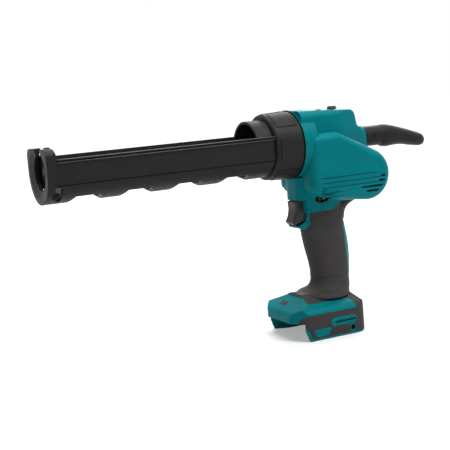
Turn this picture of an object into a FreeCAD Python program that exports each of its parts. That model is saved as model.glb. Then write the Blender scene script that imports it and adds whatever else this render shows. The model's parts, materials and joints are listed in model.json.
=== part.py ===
"""Cordless caulking tool: open cartridge holder, screw ring, geared push rod and pistol-grip housing.

Frame: millimetres, +X towards the nozzle, +Y to the tool's left, +Z up.
The origin is the middle of the battery foot's lower face.
"""
import FreeCAD, Part
import math
import os
import re

import Sketcher
from FreeCAD import Placement, Rotation, Vector

# Driving sizes

SIZES = {
    # barrel line
    "axis_height": 200.0,
    "ring_front": 52.0,
    "run_gap": 0.3,
    "shaft_gap": 0.05,
    "seat_gap": 0.1,
    # cartridge holder
    "bay_radius": 27.3,
    "floor_wall": 2.9,
    "side_wall": 2.0,
    "rim_lip": 0.9,
    "lip_height": 3.6,
    "rim_height": 12.35,
    "side_drop": 11.3,
    "holder_length": 234.8,
    "plate_depth": 9.2,
    "plate_wall": 5.4,
    "plate_rise": 21.5,
    "plate_round": 8.0,
    "plate_seat": 25.5,
    "gusset_radius": 6.0,
    "nozzle_radius": 17.3,
    "nozzle_slot": 12.0,
    "slot_flare": 3.0,
    "dish_radius_front": 25.5,
    "dish_depth_front": 2.2,
    "collar_radius": 28.2,
    "collar_wall": 2.4,
    "collar_mouth": 17.7,
    "flange_radius": 30.4,
    "flange_width": 5.6,
    "window_first": 39.0,
    "window_pitch": 51.8,
    "window_length": 23.5,
    "window_slope": 6.8,
    "window_drop": 24.0,
    "tab_slot": 5.0,
    "tab_slot_high": 15.0,
    "tab_slot_low": 27.0,
    # screw ring
    "ring_length": 30.6,
    "ring_radius": 33.5,
    "ring_flare": 0.9,
    "ring_lip": 3.0,
    "ring_step": 1.6,
    "pad_rise": 0.8,
    "pad_angle": 40.0,
    "pad_margin": 3.0,
    # nose sleeve
    "nose_wall": 4.4,
    "nose_web": 6.0,
    "nose_flange": 31.7,
    "nose_flange_width": 5.0,
    # push rod
    "rod_radius": 6.0,
    "bush_wall": 3.0,
    "rear_bush_length": 18.0,
    "stroke": 216.0,
    "rack_module": 1.5,
    "rack_drop": 4.0,
    "rack_margin": 12.0,
    "piston_radius": 22.5,
    "piston_width": 4.5,
    "piston_hub": 10.0,
    "piston_hub_length": 8.0,
    "piston_gap": 2.4,
    "screw_radius": 2.4,
    "screw_depth": 16.0,
    # rod handle
    "handle_radius": 10.8,
    "handle_collar": 19.5,
    "handle_reach": 60.0,
    "handle_bend": 10.0,
    "handle_end": 7.3,
    "handle_socket": 18.0,
    "pin_radius": 2.0,
    # gear train
    "pinion_x": -11.7,
    "pinion_teeth": 12,
    "pinion_width": 12.0,
    "shaft_radius": 5.0,
    "output_module": 0.8,
    "output_teeth": 48,
    "drive_teeth": 12,
    "output_start": 8.0,
    "output_width": 6.0,
    "first_module": 0.6,
    "first_teeth": 73,
    "motor_teeth": 12,
    "first_start": 17.8,
    "first_width": 5.4,
    "backlash": 0.16,
    "drive_angle": 209.0,
    "motor_angle": 209.0,
    "pin_shaft_radius": 2.5,
    "gear_hub": 5.5,
    # gear plates
    "plate_right": -13.0,
    "gear_plate": 3.0,
    "plate_left": 25.0,
    "bracket_start": 14.6,
    "bracket_width": 2.4,
    "bearing_radius": 8.0,
    "bearing_width": 5.0,
    "pillar_radius": 3.0,
    "pillar_screw": 1.5,
    "pillar_front_x": 5.0,
    "pillar_front_drop": 37.0,
    "pillar_rear_x": -27.0,
    "pillar_rear_drop": 51.0,
    "hub_clear": 8.0,
    # motor
    "can_radius": 19.5,
    "can_wall": 1.6,
    "can_length": 36.0,
    "magnet_wall": 4.0,
    "armature_radius": 12.6,
    "armature_length": 26.0,
    "motor_shaft_radius": 2.0,
    "motor_bearing_radius": 5.5,
    "end_cap_width": 5.0,
    "fan_radius": 17.0,
    "fan_width": 3.6,
    "fan_blades": 9,
    # housing
    "wall": 3.0,
    "front_radius": 35.0,
    "front_length": 11.0,
    "top_half_width": 27.0,
    "top_rise": 34.5,
    "top_rear": -70.0,
    "top_round": 9.0,
    "top_rear_half": 13.0,
    "top_fall": 3.5,
    "top_back": -49.0,
    "top_waist": -28.0,
    "bulge_half_width": 37.0,
    "bulge_front": 15.0,
    "bulge_rise": 10.5,
    "bulge_floor_drop": 50.0,
    "bulge_shoulder": -20.3,
    "bulge_round": 10.0,
    "drum_radius": 27.0,
    "neck_front": 20.5,
    "neck_rear": -43.0,
    "neck_half_width": 19.5,
    "neck_top_drop": 34.0,
    "neck_bottom_drop": 70.5,
    "neck_round": 14.0,
    "vent_height": 2.0,
    # grip
    "grip_half_width": 18.0,
    "cover_wall": 2.0,
    "skirt_rise": 14.5,
    "skirt_sink": 5.5,
    "skirt_edge_sink": 7.5,
    "stripe_width": 10.0,
    "saddle_reach": 18.0,
    # battery foot
    "foot_front": 46.0,
    "foot_rear": -42.5,
    "foot_half_width": 39.0,
    "foot_height": 43.5,
    "foot_roof": 18.5,
    "foot_roof_wall": 3.0,
    "foot_round": 18.0,
    "foot_top_round": 8.0,
    "nose_half_width": 24.0,
    "nose_round": 9.0,
    "nose_edge_round": 7.0,
    "cheek_round": 12.0,
    "crown_half_width": 10.0,
    "crown_shoulder": 23.0,
    "crown_sink": 5.9,
    "cheek_sink": 12.5,
    "nose_sink": 15.0,
    "nose_step": 24.5,
    "nose_step_sink": 3.0,
    "rail_front": 31.0,
    "rail_slope": 10.0,
    "rail_wall": 6.0,
    "rail_lip": 4.0,
    "rail_lip_height": 4.0,
    "rail_stop": -30.0,
    "rail_edge": 2.6,
    "rail_lead": 14.0,
    "bumper_wall": 1.2,
    "bumper_low": 2.0,
    "bumper_high": 27.0,
    "rubber_rear": -26.0,
    # trigger and buttons
    "trigger_half_width": 9.0,
    "trigger_front": 22.6,
    "trigger_drop": 59.0,
    "trigger_height": 24.5,
    "trigger_rear": 3.0,
    "trigger_travel": 6.0,
    "trigger_round": 2.5,
    "stem_drop": 6.0,
    "plunger_radius": 3.0,
    "plunger_length": 12.0,
    "switch_front": -6.5,
    "switch_length": 23.0,
    "switch_half_width": 8.0,
    "switch_drop": 5.0,
    "switch_height": 23.0,
    "spring_wire": 0.7,
    "spring_radius": 4.6,
    "spring_turns": 3.5,
    "lock_x": -4.5,
    "lock_rise": 1.4,
    "lock_radius": 4.0,
    "lock_travel": 7.0,
    "dish_length": 18.0,
    "dish_height": 9.0,
    "dish_depth": 2.2,
    "dial_x": -35.0,
    "dial_radius": 5.5,
    "dial_height": 3.4,
    "dial_stem": 2.6,
    "dial_ribs": 16,
    # electrics
    "block_front": 5.0,
    "block_length": 33.0,
    "block_half_width": 16.0,
    "block_low": 9.0,
    "block_top": 27.0,
    "contact_width": 0.8,
    "contact_height": 6.0,
    "contact_reach": 14.0,
    "contact_spread": 9.0,
    "board_thick": 1.6,
    "lead_radius": 1.1,
    "lead_spread": 5.0,
    "lead_x": -20.0,
    "led_half_width": 4.8,
    "led_half_height": 2.7,
    "led_side": -5.6,
    "led_down": 12.4,
    "led_length": 6.0,
    # fasteners
    "case_screw_radius": 1.6,
    "case_head_radius": 3.0,
    "case_head_depth": 2.4,
    "boss_radius": 3.8,
    "hook_x": -20.6,
    "hook_z": 6.8,
    "hook_radius": 1.65,
    "insert_radius": 3.0,
}

# Places worked out from the driving sizes

DERIVED = {
    "plate_front": "(ring_front + holder_length)",
    "plate_back": "(plate_front - plate_depth)",
    "floor_radius": "(bay_radius + floor_wall)",
    "side_half": "(bay_radius + side_wall)",
    "lip_half": "(side_half + rim_lip)",
    "spigot_end": "(ring_front - ring_lip - run_gap - flange_width)",
    "nose_front": "(spigot_end - run_gap)",
    "ring_rear": "(ring_front - ring_length)",
    "case_front": "(ring_rear - run_gap)",
    "nose_seat": "(case_front - wall - seat_gap)",
    "nose_rear": "(nose_seat - nose_flange_width)",
    "bush_radius": "(rod_radius + bush_wall)",
    "piston_front": "(plate_front - plate_wall - piston_gap)",
    "rod_front": "(piston_front - piston_width)",
    "handle_front": "(top_rear - 2 * seat_gap - run_gap)",
    "rod_rear": "(handle_front - handle_socket)",
    "pinion_pitch": "(rack_module * pinion_teeth / 2)",
    "pinion_z": "(axis_height - rack_drop - pinion_pitch)",
    "drive_reach": "(output_module * (output_teeth + drive_teeth) / 2)",
    "drive_x": "(pinion_x + drive_reach * cos(drive_angle))",
    "drive_z": "(pinion_z + drive_reach * sin(drive_angle))",
    "motor_reach": "(first_module * (first_teeth + motor_teeth) / 2)",
    "motor_x": "(drive_x + motor_reach * cos(motor_angle))",
    "motor_z": "(drive_z + motor_reach * sin(motor_angle))",
    "can_front": "(bracket_start - seat_gap)",
    "can_rear": "(can_front - can_length)",
    "pillar_front_z": "(axis_height - pillar_front_drop)",
    "pillar_rear_z": "(axis_height - pillar_rear_drop)",
    "bulge_floor": "(axis_height - bulge_floor_drop)",
    "neck_top": "(axis_height - neck_top_drop)",
    "neck_bottom": "(axis_height - neck_bottom_drop)",
    "trigger_top": "(axis_height - trigger_drop)",
    "trigger_bottom": "(trigger_top - trigger_height)",
    "stem_top": "(trigger_top - stem_drop)",
    "switch_high": "(trigger_top - switch_drop)",
    "switch_low": "(switch_high - switch_height)",
    "lock_z": "(trigger_top + lock_rise)",
    "skirt_top": "(foot_height + skirt_rise)",
    "skirt_low": "(foot_height - skirt_sink)",
    "skirt_edge": "(foot_height - skirt_edge_sink)",
    "crown_height": "(foot_height - crown_sink)",
    "cheek_height": "(foot_height - cheek_sink)",
    "nose_height": "(foot_height - nose_sink)",
    "nose_step_height": "(foot_height - nose_step_sink)",
    "switch_rear": "(switch_front - switch_length)",
    "lock_length": "(2 * neck_half_width)",
    "lock_right": "(-neck_half_width - lock_travel / 2)",
    "dial_seat": "(axis_height + top_rise"
                 " - top_fall * (case_front - 2 - dial_x) / (case_front - 2 - top_back))",
    "block_rear": "(block_front - block_length)",
    "board_top": "(block_top + seat_gap + board_thick)",
}

doc = FreeCAD.newDocument("caulking_tool")
sheet = doc.addObject("Spreadsheet::Sheet", "sizes")
for row, (alias, number) in enumerate(SIZES.items(), 1):
    sheet.set(f"A{row}", alias)
    sheet.set(f"B{row}", str(number))
    sheet.setAlias(f"B{row}", alias)
doc.recompute()


def text(expression):
    """Expression in sheet cells, with derived places written out."""
    def swap(match):
        word = match.group()
        if word in DERIVED:
            return text(DERIVED[word])
        return f"sizes.{word}" if word in SIZES else word
    return re.sub(r"[a-z_]+", swap, str(expression))


def mm(expression):
    """Number that an expression of the sheet comes to."""
    return float(sheet.evalExpression(text(expression)))


def bind(obj, **expressions):
    """Ties properties of an object to the sheet; a double underscore stands for a dot."""
    for name, expression in expressions.items():
        obj.setExpression(name.replace("__", "."), text(expression))


def locate(obj, at):
    """Ties an object's place to the sheet."""
    for letter, expression in zip("xyz", at):
        obj.setExpression(f".Placement.Base.{letter}", text(expression))


# Ways of making a piece

TURNED = {
    "x": Rotation(),
    "y": Rotation(Vector(0, 0, 1), 90),
    "z": Rotation(Vector(0, 1, 0), -90),
}


def new_body(label):
    """Empty body whose label names its file."""
    body = doc.addObject("PartDesign::Body", label)
    body.Label = label
    return body


def new_sketch(body, role, loops):
    """Sketch on one of the body's own planes: corner loops, and circles as (u, v, radius)."""
    sketch = body.newObject("Sketcher::SketchObject", f"{body.Name}_sketch")
    plane = next(feature for feature in body.Origin.OriginFeatures if feature.Role == role)
    sketch.AttachmentSupport = [(plane, "")]
    sketch.MapMode = "FlatFace"
    for loop in loops:
        if isinstance(loop, tuple):
            draw_circle(sketch, *loop)
        else:
            draw_corners(sketch, loop)
    return sketch


def fix_point(sketch, curve, end, u, v):
    """Holds one point of a sketch at sheet places."""
    for kind, expression in (("DistanceX", u), ("DistanceY", v)):
        index = sketch.addConstraint(Sketcher.Constraint(kind, -1, 1, curve, end, mm(expression)))
        sketch.setExpression(f"Constraints[{index}]", text(expression))


def draw_circle(sketch, u, v, radius):
    """Circle with its centre and radius tied to the sheet."""
    curve = sketch.addGeometry(Part.Circle(Vector(mm(u), mm(v), 0), Vector(0, 0, 1), mm(radius)))
    fix_point(sketch, curve, 3, u, v)
    index = sketch.addConstraint(Sketcher.Constraint("Radius", curve, mm(radius)))
    sketch.setExpression(f"Constraints[{index}]", text(radius))


def draw_corners(sketch, corners):
    """Closed run of straight lines with every corner tied to the sheet."""
    points = [Vector(mm(u), mm(v), 0) for u, v in corners]
    lines = []
    for start, end in zip(points, points[1:] + points[:1]):
        lines.append(sketch.addGeometry(Part.LineSegment(start, end)))
    for line, following in zip(lines, lines[1:] + lines[:1]):
        sketch.addConstraint(Sketcher.Constraint("Coincident", line, 2, following, 1))
    for line, (u, v) in zip(lines, corners):
        fix_point(sketch, line, 1, u, v)


def revolved(label, axis, at, corners):
    """Turned piece: corners are (distance along the axis, radius)."""
    body = new_body(label)
    sketch = new_sketch(body, "XZ_Plane", [corners])
    turn = body.newObject("PartDesign::Revolution", f"{label}_turn")
    turn.Profile = sketch
    turn.ReferenceAxis = (sketch, ["H_Axis"])
    turn.Angle = 360
    body.Placement = Placement(Vector(), TURNED[axis])
    locate(body, at)
    return body


def padded(label, role, loops, low, high):
    """Piece of even depth from low to high, square to the sketch plane."""
    body = new_body(label)
    sketch = new_sketch(body, role, loops)
    start = f"-({high})" if role == "XZ_Plane" else low
    sketch.setExpression(".AttachmentOffset.Base.z", text(start))
    pad = body.newObject("PartDesign::Pad", f"{label}_pad")
    pad.Profile = sketch
    bind(pad, Length=f"({high}) - ({low})")
    return body


def cylinder(axis, at, radius, length):
    """Plain round bar along an axis, starting at a point."""
    bar = doc.addObject("Part::Cylinder", "bar")
    bind(bar, Radius=radius, Height=length)
    directions = {"x": Vector(1, 0, 0), "y": Vector(0, 1, 0), "z": Vector(0, 0, 1)}
    bar.Placement = Placement(Vector(), Rotation(Vector(0, 0, 1), directions[axis]))
    locate(bar, at)
    return bar


def box(low, high):
    """Plain block between two corners."""
    block = doc.addObject("Part::Box", "block")
    spans = [f"({b}) - ({a})" for a, b in zip(low, high)]
    bind(block, Length=spans[0], Width=spans[1], Height=spans[2])
    locate(block, low)
    return block


def fused(label, *pieces):
    """One solid out of several."""
    joined = doc.addObject("Part::MultiFuse", label)
    joined.Shapes = list(pieces)
    joined.Label = label
    return joined


def grouped(label, *pieces):
    """Several loose solids under one name."""
    group = doc.addObject("Part::Compound", label)
    group.Links = list(pieces)
    group.Label = label
    return group


def cut(label, base, *tools):
    """One piece with others taken out of it."""
    tool = tools[0] if len(tools) == 1 else fused(f"{label}_tools", *tools)
    result = doc.addObject("Part::Cut", label)
    result.Base = base
    result.Tool = tool
    result.Label = label
    return result


def shaped(label, shape, at=None):
    """Piece whose form neither sketches nor primitives give."""
    piece = doc.addObject("Part::Feature", label)
    piece.Shape = shape
    piece.Label = label
    if at:
        locate(piece, at)
    return piece


# Shape helpers for the free forms

def rounded_wire(corners, place):
    """Closed wire through (u, v, radius) corners, each rounded by a tangent arc."""
    count = len(corners)
    points = [Vector(u, v, 0) for u, v, radius in corners]
    ends = []
    for i, (u, v, radius) in enumerate(corners):
        before = (points[i - 1] - points[i]).normalize()
        after = (points[(i + 1) % count] - points[i]).normalize()
        if radius <= 0:
            ends.append((points[i], points[i], points[i]))
            continue
        half = before.getAngle(after) / 2
        inward = (before + after).normalize()
        middle = points[i] + inward * (radius / math.sin(half) - radius)
        ends.append((points[i] + before * (radius / math.tan(half)), middle,
                     points[i] + after * (radius / math.tan(half))))
    edges = []
    for i, (start, middle, end) in enumerate(ends):
        if start != end:
            edges.append(Part.Arc(place(start), place(middle), place(end)).toShape())
        following = ends[(i + 1) % count][0]
        if (following - end).Length > 1e-6:
            edges.append(Part.LineSegment(place(end), place(following)).toShape())
    return Part.Wire(edges)


def side_slab(corners, low, high):
    """Side outline in X and Z, pulled from one Y to another."""
    wire = rounded_wire(corners, lambda p: Vector(p.x, low, p.y))
    return Part.Face(wire).extrude(Vector(0, high - low, 0))


def plan_slab(corners, low, high):
    """Plan outline in X and Y, pulled from one Z to another."""
    wire = rounded_wire(corners, lambda p: Vector(p.x, p.y, low))
    return Part.Face(wire).extrude(Vector(0, 0, high - low))


def front_slab(corners, low, high):
    """Front outline in Y and Z, pulled from one X to another."""
    wire = rounded_wire(corners, lambda p: Vector(low, p.x, p.y))
    return Part.Face(wire).extrude(Vector(high - low, 0, 0))


def bar_along(direction, start, radius, length):
    """Round bar for cutting or joining."""
    return Part.makeCylinder(radius, length, start, direction)


def block_between(low, high):
    """Block for cutting or joining."""
    spans = [b - a for a, b in zip(low, high)]
    return Part.makeBox(*spans, Vector(*low))


def round_ends(solid, radius, test):
    """Rounds the edges that a test picks."""
    return solid.makeFillet(radius, [edge for edge in solid.Edges if test(edge)])


def inset_face(wire, inset):
    """Face inside a closed outline, drawn in by an inset."""
    face = Part.Face(wire)
    if not inset:
        return face
    smaller = Part.Face(wire.makeOffset2D(-inset))
    return smaller if smaller.Area < face.Area else Part.Face(wire.makeOffset2D(inset))


def three_way(plan, side, front, inset):
    """Solid that keeps to a plan, a side outline and a front outline at once."""
    seen_from_above = rounded_wire(plan, lambda p: Vector(p.x, p.y, -FAR))
    seen_from_side = rounded_wire(side, lambda p: Vector(p.x, -FAR, p.y))
    seen_from_front = rounded_wire(front, lambda p: Vector(-FAR, p.x, p.y))
    solid = inset_face(seen_from_above, inset).extrude(Z * (2 * FAR))
    solid = solid.common(inset_face(seen_from_side, inset).extrude(Y * (2 * FAR)))
    return solid.common(inset_face(seen_from_front, inset).extrude(X * (2 * FAR)))


def ellipse_wire(x, z, half_depth, half_width):
    """Level oval around a point of the grip's line."""
    if half_depth >= half_width:
        curve = Part.Ellipse(Vector(x, 0, z), half_depth, half_width)
        return Part.Wire(curve.toShape())
    curve = Part.Ellipse(Vector(x, half_width, z), Vector(x + half_depth, 0, z), Vector(x, 0, z))
    return Part.Wire(curve.toShape())


X, Y, Z = Vector(1, 0, 0), Vector(0, 1, 0), Vector(0, 0, 1)
AXIS = mm("axis_height")
FAR = 400.0


# Cartridge holder

def holder_section(radius, half_width, drop, low_x, high_x):
    """Trough-shaped bar: round below, straight-sided from a ledge up to the rim."""
    rim = AXIS + mm("rim_height")
    turn = AXIS - drop
    side = block_between((low_x, -half_width, turn), (high_x, half_width, rim))
    round_part = bar_along(X, Vector(low_x, 0, AXIS), radius, high_x - low_x)
    below = block_between((low_x, -FAR, AXIS - FAR), (high_x, FAR, turn))
    return round_part.common(below).fuse(side)


def floor_windows():
    """Openings in the trough's floor, one for each pitch, with sloped ends."""
    level = AXIS - mm("window_drop")
    low = AXIS - mm("floor_radius") - 1
    half_top = mm("window_length") / 2
    half_low = half_top + mm("window_slope")
    reach = mm("bay_radius")
    count = int((mm("holder_length") - mm("window_first")) / mm("window_pitch")) + 1
    cuts = []
    for number in range(count):
        middle = mm("ring_front") + mm("window_first") + number * mm("window_pitch")
        corners = [(middle - half_top, level, 2), (middle + half_top, level, 2),
                   (middle + half_low, low, 0), (middle - half_low, low, 0)]
        cuts.append(side_slab(corners, -reach, reach))
    return cuts


def front_plate():
    """Keyhole plate that the cartridge's nozzle passes through."""
    half = mm("lip_half")
    top = AXIS + mm("plate_rise")
    low_x, high_x = mm("plate_back"), mm("plate_front")
    disc = bar_along(X, Vector(low_x, 0, AXIS), half, high_x - low_x)
    soft = mm("plate_round")
    upper = front_slab([(-half, AXIS, 0), (half, AXIS, 0), (half, top, soft), (-half, top, soft)],
                       low_x, high_x)
    below = block_between((low_x, -half, AXIS - half), (high_x, half, AXIS))
    return disc.common(below).fuse(upper)


def plate_gussets():
    """Hollow-cornered webs between the plate's back and the two rims."""
    radius = mm("gusset_radius")
    rim = AXIS + mm("rim_height")
    back = mm("plate_back")
    webs = []
    for low, high in ((mm("bay_radius"), mm("lip_half")), (-mm("lip_half"), -mm("bay_radius"))):
        web = block_between((back - radius, low, rim - 1), (back + 1, high, rim + radius))
        webs.append(web.cut(bar_along(Y, Vector(back - radius, low, rim + radius), radius, high - low)))
    return webs


def cartridge_holder():
    """Trough, rear collar, ring flange and keyhole plate in one moulding."""
    start = mm("ring_front") + mm("run_gap")
    back = mm("plate_back")
    outer = holder_section(mm("floor_radius"), mm("side_half"), mm("side_drop"), start, back)
    lip_low = AXIS + mm("rim_height - lip_height")
    lip = block_between((start, -mm("lip_half"), lip_low), (back, mm("lip_half"), AXIS + mm("rim_height")))
    collar_end = mm("ring_front + collar_mouth")
    spigot = mm("spigot_end")
    collar = bar_along(X, Vector(spigot, 0, AXIS), mm("collar_radius"), collar_end - spigot)
    flange = bar_along(X, Vector(spigot, 0, AXIS), mm("flange_radius"), mm("flange_width"))
    body = outer.multiFuse([lip, collar, flange, front_plate()] + plate_gussets())
    bay = holder_section(mm("bay_radius"), mm("bay_radius"), mm("side_drop - floor_wall"), collar_end, back)
    above = block_between((collar_end, -mm("bay_radius"), AXIS), (back, mm("bay_radius"), AXIS + FAR))
    bore = bar_along(X, Vector(spigot, 0, AXIS), mm("collar_radius - collar_wall"), collar_end - spigot)
    seat = bar_along(X, Vector(back, 0, AXIS), mm("plate_seat"), mm("plate_depth - plate_wall"))
    nozzle = bar_along(X, Vector(back, 0, AXIS), mm("nozzle_radius"), mm("plate_depth"))
    half_slot = mm("nozzle_slot") / 2
    flare, top = half_slot + mm("slot_flare"), AXIS + mm("plate_rise") + 1
    slot = front_slab([(-half_slot, AXIS, 0), (half_slot, AXIS, 0), (flare, top, 0), (-flare, top, 0)],
                      back, mm("plate_front"))
    depth = mm("dish_depth_front")
    dish = Part.makeCone(mm("nozzle_radius"), mm("dish_radius_front"), depth,
                         Vector(mm("plate_front") - depth, 0, AXIS), X)
    tabs = []
    for side in (-1, 1):
        near, far = sorted((side * mm("bay_radius") * 0.4, side * mm("floor_radius")))
        tabs.append(block_between((back - mm("tab_slot"), near, AXIS - mm("tab_slot_low")),
                                  (back, far, AXIS - mm("tab_slot_high"))))
    return body.cut([bay, above, bore, seat, nozzle, slot, dish] + floor_windows() + tabs)


holder = shaped("cartridge_holder", cartridge_holder())


# Screw ring and nose sleeve

def ring_pads():
    """Raised finger pads round the ring."""
    radius = mm("ring_radius")
    low = mm("ring_rear + pad_margin")
    length = mm("ring_length - ring_step - 2 * pad_margin")
    ring = Part.makeCone(radius + mm("ring_flare + pad_rise"), radius + mm("pad_rise"), length,
                         Vector(low, 0, AXIS), X)
    ring = ring.cut(bar_along(X, Vector(low, 0, AXIS), radius - 1, length))
    pads = []
    angle = mm("pad_angle")
    for start in range(-12, 348, 60):
        wedge = Part.makeCylinder(FAR, length, Vector(low, 0, AXIS), X, angle)
        wedge.rotate(Vector(low, 0, AXIS), X, start - angle)
        pads.append(ring.common(wedge))
    return pads


RING_BORE = "flange_radius + run_gap"
ring_blank = revolved("ring_blank", "x", ("ring_rear", 0, "axis_height"), [
    (0, RING_BORE),
    ("ring_length - ring_lip", RING_BORE),
    ("ring_length - ring_lip", "collar_radius + run_gap"),
    ("ring_length", "collar_radius + run_gap"),
    ("ring_length", "ring_radius - ring_step"),
    ("ring_length - ring_step", "ring_radius"),
    (0, "ring_radius + ring_flare"),
])
ring = fused("holder_ring", ring_blank, *[shaped("ring_pad", pad) for pad in ring_pads()])

nose = revolved("nose_sleeve", "x", ("nose_rear", 0, "axis_height"), [
    (0, "bush_radius + seat_gap"),
    ("nose_web", "bush_radius + seat_gap"),
    ("nose_web", "flange_radius - nose_wall"),
    ("nose_front - nose_rear", "flange_radius - nose_wall"),
    ("nose_front - nose_rear", "flange_radius"),
    ("nose_flange_width", "flange_radius"),
    ("nose_flange_width", "nose_flange"),
    (0, "nose_flange"),
])

front_bush = revolved("front_bush", "x", ("nose_rear", 0, "axis_height"), [
    (0, "rod_radius + shaft_gap"),
    ("nose_web + bush_wall", "rod_radius + shaft_gap"),
    ("nose_web + bush_wall", "bush_radius + bush_wall / 2"),
    ("nose_web + seat_gap", "bush_radius + bush_wall / 2"),
    ("nose_web + seat_gap", "bush_radius"),
    (0, "bush_radius"),
])

rear_bush = revolved("rear_bush", "x", ("top_rear", 0, "axis_height"), [
    (0, "rod_radius + shaft_gap"),
    ("rear_bush_length", "rod_radius + shaft_gap"),
    ("rear_bush_length", "bush_radius"),
    (0, "bush_radius"),
])


# Push rod, piston and handle

def rack_cutter():
    """Straight-flanked rack spaces below the rod, with one space over the pinion."""
    module = mm("rack_module")
    pitch = math.pi * module
    lean = math.tan(math.radians(25))
    level = AXIS - mm("rack_drop")
    root, tip = level + 1.25 * module, level - module
    floor = AXIS - mm("rod_radius") - 1
    half = pitch / 4 + mm("backlash") / 4
    first = int(-mm("rack_margin") / pitch)
    last = int(mm("stroke + rack_margin") / pitch)
    outline = [(mm("pinion_x") + (first - 0.5) * pitch, floor), (mm("pinion_x") + (first - 0.5) * pitch, tip)]
    for number in range(first, last + 1):
        middle = mm("pinion_x") + number * pitch
        outline += [(middle - half - module * lean, tip), (middle - half + 1.25 * module * lean, root),
                    (middle + half - 1.25 * module * lean, root), (middle + half + module * lean, tip)]
    outline += [(mm("pinion_x") + (last + 0.5) * pitch, tip), (mm("pinion_x") + (last + 0.5) * pitch, floor)]
    return side_slab([(x, z, 0) for x, z in outline], -mm("rod_radius"), mm("rod_radius"))


rod_bar = cylinder("x", ("rod_rear", 0, "axis_height"), "rod_radius", "rod_front - rod_rear")
rod_thread = cylinder("x", ("rod_front - screw_depth", 0, "axis_height"), "screw_radius", "screw_depth")
pin_hole = cylinder("y", ("rod_rear + handle_socket / 2", "-rod_radius", "axis_height"),
                    "pin_radius", "2 * rod_radius")
rod = cut("push_rod", rod_bar, rod_thread, pin_hole, shaped("rack_spaces", rack_cutter()))

piston = revolved("piston", "x", ("rod_front", 0, "axis_height"), [
    (0, "screw_radius"),
    ("piston_width", "screw_radius"),
    ("piston_width", "piston_radius - 1.5"),
    ("piston_width - 1.5", "piston_radius"),
    (0, "piston_radius"),
    (0, "piston_hub"),
    ("-piston_hub_length", "piston_hub - 2"),
    ("-piston_hub_length", "rod_radius + shaft_gap"),
    (0, "rod_radius + shaft_gap"),
])

piston_screw = revolved("piston_screw", "x", ("rod_front", 0, "axis_height"), [
    ("1 - screw_depth", 0),
    ("piston_width + piston_gap - 0.4", 0),
    ("piston_width + piston_gap - 0.4", "2 * screw_radius - 1"),
    ("piston_width", "2 * screw_radius"),
    ("piston_width", "screw_radius - shaft_gap"),
    ("1 - screw_depth", "screw_radius - shaft_gap"),
])


def handle_section(back, drop, half_height, half_width):
    """Upright oval across the handle."""
    centre = Vector(mm("handle_front - handle_collar") - back, 0, AXIS - drop)
    major = centre + Z * half_height
    minor = centre + Y * half_width
    if half_width > half_height:
        major, minor = minor, major
    return Part.Wire(Part.Ellipse(major, minor, centre).toShape())


def rod_handle():
    """Round socket that runs back into a drooping, flattened grip with a rounded end."""
    radius = mm("handle_radius")
    reach, bend, end = mm("handle_reach"), mm("handle_bend"), mm("handle_end")
    front = mm("handle_front")
    collar = bar_along(-X, Vector(front, 0, AXIS), radius, mm("handle_collar") + 1)
    sections = [handle_section(0, 0, radius - 0.8, radius - 0.9),
                handle_section(0.09 * reach, 0.08 * bend, radius + 1, radius - 0.2),
                handle_section(0.4 * reach, 0.23 * bend, 0.94 * radius, radius - 0.6),
                handle_section(0.7 * reach, 0.62 * bend, 0.79 * radius, radius - 1),
                handle_section(0.9 * reach, 0.9 * bend, end, radius - 2),
                handle_section(0.97 * reach, 0.98 * bend, 0.8 * end, 0.62 * radius),
                handle_section(reach, bend, 0.4 * end, 0.3 * radius)]
    grip = Part.makeLoft(sections, True, False)
    socket = bar_along(-X, Vector(front, 0, AXIS), mm("rod_radius + shaft_gap"), mm("handle_socket") + 0.2)
    middle = mm("rod_rear + handle_socket / 2")
    pin = bar_along(Y, Vector(middle, -2 * radius, AXIS), mm("pin_radius"), 4 * radius)
    return collar.fuse(grip).cut([socket, pin])


handle = shaped("rod_handle", rod_handle())
handle_pin = cylinder("y", ("rod_rear + handle_socket / 2", "0.4 - handle_radius", "axis_height"),
                      "pin_radius - shaft_gap", "2 * handle_radius - 0.8")
handle_pin.Label = "handle_pin"


# Gear train

PRESSURE_ANGLE = math.radians(25)
FLANK_STEPS = 4


def flank_angle(radius, base):
    """Involute angle at a radius."""
    if radius <= base:
        return 0.0
    tangent = math.sqrt((radius / base) ** 2 - 1)
    return tangent - math.atan(tangent)


def gear_face(teeth, module, first_tooth):
    """Spur gear outline about the origin in X and Z, with a tooth at the angle given in degrees."""
    pitch = module * teeth / 2
    base = pitch * math.cos(PRESSURE_ANGLE)
    root, tip = pitch - 1.25 * module, pitch + module
    thick = math.pi * module / 2 - mm("backlash") / 2
    half = thick / (2 * pitch) + flank_angle(pitch, base)
    low = max(base, root)
    radii = [root] + [low + (tip - low) * k / FLANK_STEPS for k in range(FLANK_STEPS + 1)]
    points = []
    for tooth in range(int(teeth)):
        middle = math.radians(first_tooth) + 2 * math.pi * tooth / teeth
        rising = [(radius, middle - half + flank_angle(radius, base)) for radius in radii]
        falling = [(radius, middle + half - flank_angle(radius, base)) for radius in reversed(radii)]
        points += rising + falling
    corners = [Vector(radius * math.cos(angle), 0, radius * math.sin(angle)) for radius, angle in points]
    return Part.Face(Part.makePolygon(corners + corners[:1]))


def gear(teeth, module, first_tooth, start, width, bore):
    """Spur gear about the Y axis, with its bore."""
    blank = gear_face(teeth, module, first_tooth).extrude(Y * width)
    blank.translate(Y * start)
    return blank.cut(bar_along(Y, Vector(0, start, 0), bore, width))


def meshing_angle(teeth, toward):
    """First tooth's angle that leaves a tooth space on the line towards a neighbour."""
    return toward + 180 / teeth


PINION_AT = ("pinion_x", 0, "pinion_z")
DRIVE_AT = ("drive_x", 0, "drive_z")
MOTOR_AT = ("motor_x", 0, "motor_z")
TO_DRIVE = mm("drive_angle")
TO_MOTOR = mm("motor_angle")

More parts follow.
